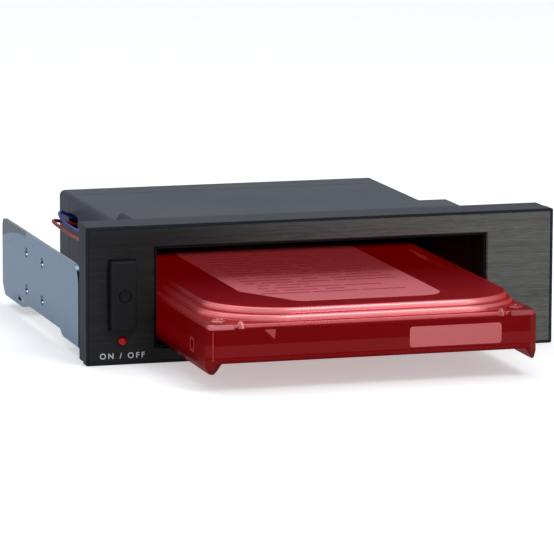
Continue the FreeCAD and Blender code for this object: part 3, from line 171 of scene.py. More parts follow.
class Shader:
    """A material under construction."""

    ending = "ShaderNodeOutputMaterial"

    def __init__(self, name: str) -> None:
        """Starts with no nodes.

        Args:
            name: What the material is called.
        """
        self.owner = self._owner(name)
        self.owner.use_nodes = True
        self.tree = self.owner.node_tree
        self.tree.nodes.clear()

    def _owner(self, name: str) -> bpy.types.ID:
        """Returns what the nodes belong to: a new material."""
        return bpy.data.materials.new(name)

    def node(self, kind: str, settings: Mapping[str, object] | None = None,
             inputs: Mapping[int | str, object] | None = None, output: int = 0) -> Signal | None:
        """Adds any node.

        Args:
            kind: The node's type.
            settings: Its settings, set before its sockets.
            inputs: Values or signals, by socket name or number.
            output: Which output to return.

        Returns:
            The chosen output, or nothing for a node that ends the tree.
        """
        made = self.tree.nodes.new(kind)
        for name, value in (settings or {}).items():
            setattr(made, name, value)
        for key, value in (inputs or {}).items():
            socket = made.inputs[key]
            if isinstance(value, Signal):
                self.tree.links.new(value.socket, socket)
            elif isinstance(value, tuple) and socket.type == "RGBA":
                socket.default_value = (*value, 1.0)
            else:
                socket.default_value = value
        return Signal(self, made.outputs[output]) if made.outputs else None

    def place(self) -> Signal:
        """Returns the point on the piece, in metres."""
        return self.node("ShaderNodeTexCoord", output=3)

    def axes(self) -> tuple[Signal, Signal, Signal]:
        """Returns the point's X, Y and Z as separate signals."""
        split = self.node("ShaderNodeSeparateXYZ", {}, {0: self.place()}).socket.node
        return tuple(Signal(self, socket) for socket in split.outputs)

    def rays(self, *names: str) -> list[Signal]:
        """Returns facts about the ray of light, such as whether it is a shadow ray, by name."""
        path = self.node("ShaderNodeLightPath").socket.node
        return [Signal(self, path.outputs[name]) for name in names]

    def stretched(self, times: Point) -> Signal:
        """Returns the point with each axis multiplied by a number of its own."""
        settings = {"operation": "MULTIPLY"}
        return self.node("ShaderNodeVectorMath", settings, {0: self.place(), 1: times})

    def noise(self, vector: Signal, scale: float, detail: float = 2.0,
              roughness: float = 0.5) -> Signal:
        """Returns soft noise from 0 to 1: cells in each unit, finer octaves and their strength."""
        inputs = {"Vector": vector, "Scale": scale, "Detail": detail, "Roughness": roughness}
        return self.node("ShaderNodeTexNoise", {"noise_dimensions": "3D"}, inputs)

    def ramp(self, signal: Signal, start: float, end: float) -> Signal:
        """Returns a straight rise from 0 at one value of a signal to 1 at another."""
        return ((signal - start) * (1 / (end - start))).limited()

    def blend(self, factor: Signal, low: object, high: object) -> Signal:
        """Returns a colour between two, by a factor."""
        return self.node("ShaderNodeMix", {"data_type": "RGBA"}, {0: factor, 6: low, 7: high}, 2)

    def shades(self, factor: Signal, colour: Colour, low: float, high: float) -> Signal:
        """Returns a colour between two shades of it, by a factor."""
        return self.blend(factor, scaled(colour, low), scaled(colour, high))

    def bump(self, height: Signal, depth: float) -> Signal:
        """Returns a normal raised by a height from 0 to 1 over a depth in metres."""
        inputs = {"Height": height, "Distance": depth, "Strength": 1.0}
        return self.node("ShaderNodeBump", {}, inputs)

    def surface(self, inputs: Mapping[str, object]) -> Signal:
        """Adds a Principled shader."""
        return self.node("ShaderNodeBsdfPrincipled", {}, inputs)

    def clear(self, tint: Colour) -> Signal:
        """Adds a Transparent shader."""
        return self.node("ShaderNodeBsdfTransparent", {}, {0: tint})

    def mixed(self, factor: Signal | float, low: Signal, high: Signal) -> Signal:
        """Returns a surface between two, by a factor."""
        return self.node("ShaderNodeMixShader", {}, {0: factor, 1: low, 2: high})

    def veil(self, body: Signal, solid: float, through: Colour, shadow: Colour) -> Signal:
        """Lets a surface show what lies behind it, through one layer however many it crosses.

        Args:
            body: The surface itself.
            solid: How much of it shows.
            through: The tint of what shows through.
            shadow: The tint of the light that reaches its shadow.

        Returns:
            The mixed surface.
        """
        layers, shading = self.rays("Transparent Depth", "Is Shadow Ray")
        first = self.mixed(shading, self.clear(through), self.clear(shadow))
        front = self.mixed(solid, first, body)
        return self.mixed(layers > 0.5, front, self.clear(WHITE))

    def finish(self, surface: Signal) -> bpy.types.ID:
        """Joins the surface to the output and returns the material."""
        self.node(self.ending, {}, {"Surface": surface})
        return self.owner


class Surroundings(Shader):
    """The scene's world under construction."""

    ending = "ShaderNodeOutputWorld"

    def _owner(self, name: str) -> bpy.types.World:
        """Returns what the nodes belong to: a new world."""
        return bpy.data.worlds.new(name)


# ------------------------------------------------------------------------------------- finishes
@dataclass(frozen=True)
class MouldedPlastic:
    """Injection moulded plastic with a fine spark-eroded grain.

    A hollow is the half width, floor and roof of a throat inside which the plastic's colour is
    darkened as painted shade.
    """

    name: str
    colour: Colour
    roughness: float = 0.42
    grain: float = 0.45 * MM
    depth: float = 0.012 * MM
    sheen: float = 0.06
    patches: float = 22.0
    uneven: Pair = (0.86, 1.14)
    painted_shade_hollow: Point | None = None
    painted_hollow_shade: float = 0.25

    def make(self) -> Material:
        """Builds the finish.

        Returns:
            The material.
        """
        shader = Shader(self.name)
        place = shader.place()
        fine = shader.noise(place, 1 / self.grain, 3.0, 0.6)
        broad = shader.noise(place, self.patches)
        colour = shader.shades(broad, self.colour, *self.uneven)
        if self.painted_shade_hollow:
            half, low, high = self.painted_shade_hollow
            across, _, up = shader.axes()
            # Painted shade: the plastic is darkened inside the throat.
            inside = (abs(across) < half) * (up > low) * (up < high)
            colour = shader.blend(inside, colour, scaled(self.colour, self.painted_hollow_shade))
        roughness = (fine - 0.5) * 0.16 + (broad - 0.5) * 0.1 + self.roughness
        return shader.finish(shader.surface({
            "Base Color": colour,
            "Roughness": roughness,
            "Specular IOR Level": self.sheen,
            "Normal": shader.bump(fine, self.depth),
        }))


@dataclass(frozen=True)
class BrushedPlate:
    """Dark anodised sheet with fine lines brushed along its length.

    The colour rises from dark to light along X as painted light: painted shade at one end and a
    painted highlight at the other.
    The pairs are how light the dark and the light end are, in the grooves and between them.
    """

    name: str
    dark: Colour
    light: Colour
    painted_shade_end: float = -60.0 * MM
    painted_light_end: float = 30.0 * MM
    roughness: float = 0.4
    metallic: float = 0.75
    anisotropy: float = 0.75
    line: float = 0.24 * MM
    run: float = 4.2 * MM
    run_deep: float = 25.0 * MM
    bands: Point = (9.0, 9.0, 900.0)
    fine_share: float = 0.7
    contrast: float = 2.0
    low: Pair = (0.2, 0.42)
    high: Pair = (1.8, 1.6)
    depth: float = 0.01 * MM

    def make(self) -> Material:
        """Builds the finish.

        Returns:
            The material.
        """
        shader = Shader(self.name)
        lines = shader.stretched((1 / self.run, 1 / self.run_deep, 1 / self.line))
        fine = shader.noise(lines, 1.0, 3.0, 0.7)
        wide = shader.noise(shader.stretched(self.bands), 1.0)
        both = fine * self.fine_share + wide * (1.0 - self.fine_share)
        strong = ((both - 0.5) * self.contrast + 0.5).limited()
        across, _, _ = shader.axes()
        # Painted light: the plate is darker at one end and lighter at the other.
        rise = shader.ramp(across, self.painted_shade_end, self.painted_light_end)
        rise = rise * rise * (3.0 - rise * 2.0)
        low, high = (shader.blend(rise, scaled(self.dark, dark), scaled(self.light, light))
                     for dark, light in (self.low, self.high))
        return shader.finish(shader.surface({
            "Base Color": shader.blend(strong, low, high),
            "Metallic": self.metallic,
            "Roughness": (both - 0.5) * 0.3 + self.roughness,
            "Anisotropic": self.anisotropy,
            "Anisotropic Rotation": 0.25,
            "Normal": shader.bump(fine, self.depth),
        }))


@dataclass(frozen=True)
class RolledSteel:
    """Bright sheet or turned steel with faint rolling lines and handling marks."""

    name: str
    colour: Colour
    roughness: float = 0.2
    lines: Point = (60.0, 60.0, 4000.0)
    patches: float = 48.0
    wear: float = 0.12
    edge: Colour = WHITE
    uneven: Pair = (0.88, 1.08)
    depth: float = 0.002 * MM

    def _colour(self, shader: Shader, marks: Signal) -> Signal:
        """Returns the metal's colour, dulled a little by handling marks."""
        return shader.shades(marks, self.colour, *self.uneven)

    def make(self) -> Material:
        """Builds the finish.

        Returns:
            The material.
        """
        shader = Shader(self.name)
        lines = shader.noise(shader.stretched(self.lines), 1.0, 2.0, 0.6)
        marks = shader.noise(shader.place(), self.patches, 4.0, 0.55)
        roughness = (lines - 0.5) * 0.1 + (marks - 0.5) * self.wear + self.roughness
        return shader.finish(shader.surface({
            "Base Color": self._colour(shader, marks),
            "Metallic": 1.0,
            "Roughness": roughness,
            "Specular Tint": self.edge,
            "Normal": shader.bump(lines, self.depth),
        }))


@dataclass(frozen=True)
class PaintedReflectionSheet(RolledSteel):
    """Polished sheet with a painted brown reflection in its rear top corner above a curve, on the
    left sheet alone.
    """

    painted_reflection: Colour = (0.07, 0.064, 0.052)
    painted_reflection_share: float = 0.9
    left_of: float = -72.0 * MM
    rear: float = 103.0 * MM
    crest: float = 26.4 * MM
    drop: float = 4.6 * MM
    reach: float = 34.0 * MM
    soft: float = 0.5 * MM
    line_drop: float = 3.2 * MM
    line_edges: Pair = (0.45 * MM, 0.1 * MM)
    line_share: float = 0.3
    painted_line_shade: float = 0.45

    def _colour(self, shader: Shader, marks: Signal) -> Signal:
        """Works out the sheet's colour.

        Args:
            shader: The material under construction.
            marks: The handling marks, from 0 to 1.

        Returns:
            The colour, with a painted brown reflection over the curve and a painted shaded line
            below it.
        """
        plain = super()._colour(shader, marks)
        side, along, up = shader.axes()
        away = ((self.rear - along) * (1 / self.reach)).limited()
        curve = self.crest - self.drop * (1.0 - away) * (1.0 - away)
        left = side < self.left_of
        # Painted reflection above the curve and a painted shaded line below it, on the left sheet
        # alone.
        over = shader.ramp(up - curve, 0.0, self.soft) * left * (away < 0.999)
        under = abs(up - curve + self.line_drop * (1.0 - away))
        line = shader.ramp(under, *self.line_edges) * left * (away < 0.98)
        shaded = scaled(self.colour, self.painted_line_shade)
        dulled = shader.blend(line * self.line_share, plain, shaded)
        return shader.blend(over * self.painted_reflection_share, dulled, self.painted_reflection)


@dataclass(frozen=True)
class ClearRed:
    """A deep red finish that lets a little of what lies behind it through.

    It carries a faint painted glow above a height, though it is no lamp, and the glow dies away
    towards the back as painted shade.
    """

    name: str
    colour: Colour
    through: Colour = (0.9, 0.12, 0.12)
    shadow: Colour = (0.6, 0.6, 0.6)
    tint: Colour = (0.5, 0.04, 0.045)
    solid: float = 0.94
    roughness: float = 0.3
    metallic: float = 0.85
    painted_glow: float = 0.11
    painted_glow_colour: Colour = (1.0, 0.0, 0.004)
    uneven: Pair = (0.82, 1.18)
    patches: float = 30.0
    grains: float = 900.0
    depth: float = 0.008 * MM
    rise: Pair = (6.0 * MM, 10.0 * MM)
    glow_fade: Pair = (38.0 * MM, 46.0 * MM)

    def _colour(self, shader: Shader) -> Signal:
        """Returns the surface's colour, a little uneven as cast and lacquered metal is."""
        broad = shader.noise(shader.place(), self.patches)
        return shader.shades(broad, self.colour, *self.uneven)

    def make(self) -> Material:
        """Builds the finish.

        Returns:
            The material.
        """
        shader = Shader(self.name)
        place = shader.place()
        cast = shader.noise(place, self.grains, 3.0, 0.6)
        worn = shader.noise(place, self.patches)
        _, along, up = shader.axes()
        # Painted glow above a height, dying away towards the back as painted shade.
        lit = shader.ramp(up, *self.rise) * (1.0 - shader.ramp(along, *self.glow_fade))
        body = shader.surface({
            "Base Color": self._colour(shader),
            "Metallic": self.metallic,
            "Roughness": (cast - 0.5) * 0.14 + (worn - 0.5) * 0.1 + self.roughness,
            "Specular Tint": self.tint,
            "Emission Color": shader.blend(lit, BLACK, self.painted_glow_colour),
            "Emission Strength": self.painted_glow,
            "Normal": shader.bump(cast, self.depth),
        })
        return shader.finish(shader.veil(body, self.solid, self.through, self.shadow))


@dataclass(frozen=True)
class RimmedRed(ClearRed):
    """The clear red over metal whose rims are brighter, as painted highlights, and whose foot is
    darker, as painted shade, than its flat.

    Each rim is a low edge, a high edge and a strength. The painted highlights are duller towards
    the right, and the painted shade at the foot is on the front face alone.
    """

    bright: Colour = (0.72, 0.265, 0.28)
    painted_rims: tuple[Point, ...] = ()
    soft: float = 0.12 * MM
    streaks: Point = (14.0, 14.0, 1400.0)
    streak_light: Pair = (0.83, 1.07)
    shaded: Pair = (31.0 * MM, 41.0 * MM)
    dull: float = 0.0
    foot: Pair = (0.0, 1.0 * MM)
    painted_foot_shade: float = 0.2
    face: float = -64.2 * MM

    def _colour(self, shader: Shader) -> Signal:
        """Works out the colour.

        Args:
            shader: The material under construction.

        Returns:
            The uneven red, dark at its foot and bright along its rims.
        """
        across, along, up = shader.axes()
        # Painted shade at the foot of the front face.
        foot = (1.0 - shader.ramp(up, *self.foot)) * (along < self.face)
        dark = scaled(self.colour, self.painted_foot_shade)
        plain = shader.blend(foot, super()._colour(shader), dark)
        scale = 1 / self.soft
        # Painted highlights along the rims, duller towards the right.
        inside = [((up - low) * scale).limited() * ((high - up) * scale).limited() * strength
                  for low, high, strength in self.painted_rims]
        streaks = shader.noise(shader.stretched(self.streaks), 1.0, 1.0)
        least, most = self.streak_light
        even = 1.0 - shader.ramp(across, *self.shaded) * self.dull
        rim = sum(inside[1:], inside[0]) * (streaks * (most - least) + least) * even
        return shader.blend(rim.limited(), plain, self.bright)


@dataclass(frozen=True)
class LacqueredBoard:
    """Green circuit board lacquer over fine copper tracks, which run one way in each patch."""

    name: str
    colour: Colour
    pitch: float = 1.9 * MM
    track: float = 0.13
    patches: float = 130.0
    bends: float = 160.0
    wander: float = 2.2 * MM
    lighter: float = 1.7
    depth: float = 0.03 * MM

    def make(self) -> Material:
        """Builds the finish.

        Returns:
            The material.
        """
        shader = Shader(self.name)
        across, _, up = shader.axes()
        wander = shader.noise(shader.place(), self.bends, 1.0) * self.wander
        columns, rows = (
            abs((axis + wander) % self.pitch - self.pitch / 2) < self.pitch * self.track
            for axis in (across, up))
        patches = shader.noise(shader.place(), self.patches, 0.0) > 0.52
        tracks = (columns * patches + rows * (1.0 - patches)).limited()
        return shader.finish(shader.surface({
            "Base Color": shader.shades(tracks, self.colour, 1.0, self.lighter),
            "Roughness": 0.34 - tracks * 0.08,
            "Normal": shader.bump(tracks, self.depth),
        }))


@dataclass(frozen=True)
class WireJacket:
    """Soft insulation with a slight waxy bloom."""

    name: str
    colour: Colour
    grains: float = 420.0
    uneven: Pair = (0.8, 1.2)
    depth: float = 0.01 * MM

    def make(self) -> Material:
        """Builds the finish.

        Returns:
            The material.
        """
        shader = Shader(self.name)
        bloom = shader.noise(shader.place(), self.grains, 3.0)
        return shader.finish(shader.surface({
            "Base Color": shader.shades(bloom, self.colour, *self.uneven),
            "Roughness": bloom * 0.2 + 0.32,
            "Specular IOR Level": 0.15,
            "Normal": shader.bump(bloom, self.depth),
        }))


@dataclass(frozen=True)
class LensRed:
    """Clear red lamp plastic, lighter at its heart than at its rim: painted light at the heart and
    painted shade at the rim.
    """

    name: str
    colour: Colour
    middle: Point
    radius: float = 1.5 * MM
    uneven: Pair = (1.3, 0.55)

    def make(self) -> Material:
        """Builds the finish.

        Returns:
            The material.
        """
        shader = Shader(self.name)
        across, _, up = shader.axes()
        off_x = (across - self.middle[0]) * (1 / self.radius)
        off_z = (up - self.middle[2]) * (1 / self.radius)
        # Painted light at the heart, fading to painted shade towards the rim.
        rim = (off_x * off_x + off_z * off_z).limited()
        return shader.finish(shader.surface({
            "Base Color": shader.shades(rim, self.colour, *self.uneven),
            "Roughness": rim * 0.05 + 0.1,
            "Specular IOR Level": 0.22,
        }))


@dataclass(frozen=True)
class RuledPaper:
    """A blank form label: plain ruled dashes in rows of uneven length and no words.

    It carries a painted glow, though it is no lamp, which dies away as painted shade over the same
    stretch as that of the cover under it.
    """

    name: str
    paper: Colour
    ink: Colour
    start: Point
    size: Pair
    pitch: float = 4.6 * MM
    stroke: float = 0.3
    margin: float = 5.0 * MM
    head: float = 2.6
    dashes: float = 260.0
    fibres: float = 1400.0
    uneven: Pair = (0.93, 1.06)
    depth: float = 0.006 * MM
    painted_glow: Colour = (0.15, 0.01, 0.012)
    glow_fade: Pair = (38.0 * MM, 46.0 * MM)

    def make(self) -> Material:
        """Builds the finish.

        Returns:
            The material.
        """
        shader = Shader(self.name)
        across, along, _ = shader.axes()
        place_x = across - self.start[0]
        place_y = along - self.start[1]
        row = place_y % self.pitch
        number = (place_y - row) * (1 / self.pitch)
        # Each row reads the noise at a place of its own, for its length and for its dashes.
        seed = shader.node("ShaderNodeCombineXYZ", {}, {0: number * 0.37, 1: 0.5})
        reach = shader.noise(seed, 3.1, 0.0) * (1.5 * self.size[0])
        line = (row < self.pitch * self.stroke) * (place_x > self.margin) * (place_x < reach)
        inside = (place_y > self.head * self.margin) * (place_y < self.size[1] - self.margin)
        spot = {0: place_x * self.dashes, 1: number * 7.3}
        dashes = shader.noise(shader.node("ShaderNodeCombineXYZ", {}, spot), 1.0, 0.0) > 0.4
        ink = line * inside * dashes * (place_x < self.size[0] - self.margin)
        fibre = shader.noise(shader.place(), self.fibres, 3.0)
        paper = shader.shades(fibre, self.paper, *self.uneven)
        return shader.finish(shader.surface({
            "Base Color": shader.blend(ink, paper, self.ink),
            "Roughness": fibre * 0.12 + 0.42,
            "Specular IOR Level": 0.1,
            # Painted glow that dies away towards the back.
            "Emission Color": shader.blend(shader.ramp(along, *self.glow_fade), self.painted_glow, BLACK),
            "Emission Strength": 1.0,
            "Normal": shader.bump(fibre, self.depth),
        }))


# ----------------------------------------------------------------------------------- mesh making
def filleted(corners: Sequence[Point], steps: int = 8) -> list[Pair]:
    """Rounds the corners of a closed outline, each by its own radius.

    Args:
        corners: Each corner's place in the plane, then its radius, anticlockwise.
        steps: Divisions in each corner.

    Returns:
        The outline's points.
    """
    outline = []
    for index, (x, y, radius) in enumerate(corners):
        corner = Vector((x, y))
        before = (Vector(corners[index - 1][:2]) - corner).normalized()
        after = (Vector(corners[(index + 1) % len(corners)][:2]) - corner).normalized()
        half = before.angle(after) / 2
        centre = corner + (before + after).normalized() * (radius / math.sin(half))
        start = corner + before * (radius / math.tan(half)) - centre
        turn = math.pi - 2 * half
        for step in range(steps + 1):
            outline.append(tuple(centre + Matrix.Rotation(turn * step / steps, 2) @ start))
    return outline


def box(left: float, right: float, low: float, high: float, radius: float) -> list[Point]:
    """Returns the corners of an upright rectangle, each with the same radius."""
    return [(x, y, radius) for x, y in ((left, low), (right, low), (right, high), (left, high))]


def circle(steps: int) -> list[Pair]:
    """Returns the cosine and sine of each of a turn's equal steps."""
    angles = (math.tau * step / steps for step in range(steps))
    return [(math.cos(angle), math.sin(angle)) for angle in angles]


def shown(name: str, data: bpy.types.ID) -> bpy.types.Object:
    """Puts a mesh, curve, lamp or camera into the scene.

    Args:
        name: The new object's name.
        data: What it shows.

    Returns:
        The new object.
    """
    made = bpy.data.objects.new(name, data)
    bpy.context.scene.collection.objects.link(made)
    return made


class Draft:
    """A mesh under construction, in metres and in the frame's axes."""

    def __init__(self, name: str) -> None:
        """Starts an empty mesh for the named piece."""
        self.name = name
        self.mesh = bmesh.new()

    def loft(self, rings: Sequence[Sequence[Point]], capped: bool = True) -> "Draft":
        """Joins closed rings of equal length.

        Args:
            rings: The rings in order.
            capped: Whether to close the first and the last ring.

        Returns:
            The same draft.
        """
        rows = [[self.mesh.verts.new(point) for point in ring] for ring in rings]
        for low, high in zip(rows, rows[1:]):
            count = len(low)
            for index in range(count):
                after = (index + 1) % count
                self.mesh.faces.new((low[index], low[after], high[after], high[index]))
        if capped:
            self.mesh.faces.new(list(reversed(rows[0])))
            self.mesh.faces.new(rows[-1])
        return self

    def turned(self, profile: Sequence[Pair], centre: Point, axis: Vector,
               steps: int = 40) -> "Draft":
        """Spins a profile round an axis.

        Args:
            profile: Pairs of a distance along the axis and a radius there.
            centre: Where the axis starts.
            axis: The axis's direction.
            steps: Divisions in the turn.

        Returns:
            The same draft.
        """
        axis = axis.normalized()
        side = axis.orthogonal().normalized()
        other = axis.cross(side)
        arms = [side * cosine + other * sine for cosine, sine in circle(steps)]
        return self.loft([
            [tuple(Vector(centre) + axis * along + arm * max(radius, LEAST)) for arm in arms]
            for along, radius in profile])

    def piece(self, material: Material, smooth_below: float = 40.0) -> bpy.types.Object:
        """Turns the draft into an object with clean outward faces.

        Args:
            material: Its finish.
            smooth_below: Edges that turn less than this many degrees are smooth.

        Returns:
            The new object.
        """
        bmesh.ops.remove_doubles(self.mesh, verts=self.mesh.verts, dist=LEAST / 10)
        bmesh.ops.recalc_face_normals(self.mesh, faces=self.mesh.faces)
        for face in self.mesh.faces:
            face.smooth = True
        limit = math.radians(smooth_below)
        for edge in self.mesh.edges:
            edge.smooth = len(edge.link_faces) == 2 and edge.calc_face_angle(0.0) < limit
        data = bpy.data.meshes.new(self.name)
        self.mesh.to_mesh(data)
        self.mesh.free()
        data.materials.append(material)
        return shown(self.name, data)


def seat(piece: bpy.types.Object, body: Body, slot: str, *nodes: str) -> None:
    """Makes a piece ride on a body and lets it stand for solids.

    Args:
        piece: The finished piece.
        body: What it moves with.
        slot: The record's finish for it, which is not used.
        nodes: The solids that it replaces.
    """
    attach(piece, body.value)
    if nodes:
        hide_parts(*nodes)
    LOG.info("%s rides on %s", piece.name, body.value)


def dress(frame: Frame, material: Material, *nodes: str) -> None:
    """Gives solids their finish.

    Args:
        frame: The solid model.
        material: The finish.
        nodes: The solids' names.
    """
    for node in nodes:
        slots = frame["nodes"][node].data.materials
        slots.clear()
        slots.append(material)
        LOG.info("%s is finished in %s", node, material.name)


# ------------------------------------------------------------------------------------ repetition
class Scatter:
    """A Geometry Nodes tree that puts a copy of one small piece at each point of a mesh."""

    def __init__(self, name: str) -> None:
        """Builds the tree.

        Args:
            name: The tree's name.
        """
        self.tree = bpy.data.node_groups.new(name, "GeometryNodeTree")
        for name, way, kind in (("Geometry", "INPUT", "Geometry"), ("Copy", "INPUT", "Object"),
                                ("Turn", "INPUT", "Rotation"), ("Spread of turn", "INPUT", "Float"),
                                ("Seed", "INPUT", "Int"), ("Finish", "INPUT", "Material"),
                                ("Geometry", "OUTPUT", "Geometry")):
            self.tree.interface.new_socket(name, in_out=way, socket_type="NodeSocket" + kind)
        start = self._add("NodeGroupInput")
        end = self._add("NodeGroupOutput")
        copy = self._add("GeometryNodeObjectInfo")
        twist = self._add("FunctionNodeRandomValue", data_type="FLOAT")
        spin = self._add("FunctionNodeAxisAngleToRotation")
        turn = self._add("FunctionNodeRotateRotation", rotation_space="LOCAL")
        place = self._add("GeometryNodeInstanceOnPoints")
        real = self._add("GeometryNodeRealizeInstances")
        paint = self._add("GeometryNodeSetMaterial")
        spin.inputs["Axis"].default_value = (0.0, 0.0, 1.0)
        _, highest, *_ = (socket for socket in twist.inputs if socket.type == "VALUE")
        angle = next(socket for socket in twist.outputs if socket.type == "VALUE")
        self._join(start.outputs["Copy"], copy.inputs["Object"])
        self._join(start.outputs["Spread of turn"], highest)
        self._join(start.outputs["Seed"], twist.inputs["Seed"])
        self._join(angle, spin.inputs["Angle"])
        self._join(start.outputs["Turn"], turn.inputs["Rotation"])
        self._join(spin.outputs["Rotation"], turn.inputs["Rotate By"])
        self._join(start.outputs["Geometry"], place.inputs["Points"])
        self._join(copy.outputs["Geometry"], place.inputs["Instance"])
        self._join(turn.outputs["Rotation"], place.inputs["Rotation"])
        self._join(place.outputs["Instances"], real.inputs["Geometry"])
        self._join(real.outputs["Geometry"], paint.inputs["Geometry"])
        self._join(start.outputs["Finish"], paint.inputs["Material"])
        self._join(paint.outputs["Geometry"], end.inputs["Geometry"])

    def _add(self, kind: str, **settings: object) -> bpy.types.Node:
        """Adds a node.

        Args:
            kind: The node's type.
            settings: Its settings by name.

        Returns:
            The node.
        """
        node = self.tree.nodes.new(kind)
        for name, value in settings.items():
            setattr(node, name, value)
        return node

    def _join(self, source: bpy.types.NodeSocket, target: bpy.types.NodeSocket) -> None:
        """Links two sockets."""
        self.tree.links.new(source, target)

    def piece(self, name: str, copy: bpy.types.Object, points: Sequence[Point], axis: Vector,
              material: Material, spread: float = math.tau,
              seed: int = 1) -> bpy.types.Object:
        """Runs the tree and returns its result as a plain mesh.

        Args:
            name: The new piece's name.
            copy: What is repeated, drawn at the origin along +Z.
            points: Where each copy goes.
            axis: Where the copy's +Z points.
            material: The finish.
            spread: Each copy is turned about its axis by a random part of this angle.
            seed: Fixes the random turns.

        Returns:
            The new object.
        """
        data = bpy.data.meshes.new(name)
        data.from_pydata([tuple(point) for point in points], [], [])
        made = shown(name, data)
        modifier = made.modifiers.new("repeat", "NODES")
        modifier.node_group = self.tree
        names = {item.name: item.identifier for item in self.tree.interface.items_tree
                 if item.in_out == "INPUT"}
        modifier[names["Copy"]] = copy
        modifier[names["Turn"]] = Vector((0, 0, 1)).rotation_difference(axis).to_euler()
        modifier[names["Spread of turn"]] = spread
        modifier[names["Seed"]] = seed
        modifier[names["Finish"]] = material
        made.update_tag()
        graph = bpy.context.evaluated_depsgraph_get()
        result = bpy.data.meshes.new_from_object(made.evaluated_get(graph))
        made.modifiers.clear()
        made.data = result
        result.name = name
        result.materials.clear()
        result.materials.append(material)
        return made


@dataclass
class CrossScrew:
    """A pan-head screw with a cross recess, drawn with its head up and its seat at the origin.

    The rings, the cross and the tip's cut are parts of the radii, and the rest are lengths.
    """

    radius: float
    head_radius: float
    head_height: float
    grip: float
    rings: tuple[float, ...] = (0.1, 0.16, 0.2, 0.34, 0.48, 0.6, 0.66, 0.8, 0.92, 1.0)
    edge: float = 0.45
    cross_reach: float = 0.6
    cross_width: float = 0.16
    cross_depth: float = 0.55
    tip_cut: float = 0.3
    steps: int = 48

    def _dome(self, part: float) -> float:
        """Returns the head's height at a part of its radius."""
        crown = math.sqrt(max(0.0, 1 - part ** 3))
        return self.head_height * (self.edge + (1 - self.edge) * crown)

    def _recess(self, x: float, y: float) -> float:
        """Works out the cross at a point of the head.

        Args:
            x: The point's place along one arm.
            y: Its place along the other.

        Returns:
            How deep the cross is there.
        """
        reach = self.head_radius * self.cross_reach
        off, far = sorted((abs(x), abs(y)))
        if far > reach or off > self.head_radius * self.cross_width:
            return 0.0
        depth = self.head_height * self.cross_depth
        return depth * min(1.0, (reach - far) / (reach * 0.5) + 0.25)

    def _flat(self, radius: float) -> list[Pair]:
        """Returns the points of a circle round the screw's axis."""
        return [(radius * cosine, radius * sine) for cosine, sine in circle(self.steps)]

    def make(self, material: Material) -> bpy.types.Object:
        """Builds the screw, which is taken away again when it has been copied.

        Args:
            material: Its finish.

        Returns:
            The screw.
        """
        draft = Draft("screw_copy")
        mesh = draft.mesh
        rings = [[(x, y, self._dome(part) - self._recess(x, y))
                  for x, y in self._flat(self.head_radius * part)] for part in self.rings]
        rings += [[(x, y, level) for x, y in self._flat(radius)] for radius, level in (
            (self.head_radius, 0.0), (self.radius, 0.0),
            (self.radius, self.tip_cut * self.radius - self.grip),
            (self.radius * (1 - self.tip_cut), -self.grip))]
        rows = [[mesh.verts.new(point) for point in ring] for ring in rings]
        top = mesh.verts.new((0, 0, self._dome(0) - self._recess(0, 0)))
        for step in range(self.steps):
            after = (step + 1) % self.steps
            mesh.faces.new((top, rows[0][step], rows[0][after]))
            for inner, outer in zip(rows, rows[1:]):
                mesh.faces.new((inner[step], outer[step], outer[after], inner[after]))
        mesh.faces.new(list(reversed(rows[-1])))
        return draft.piece(material, 35.0)


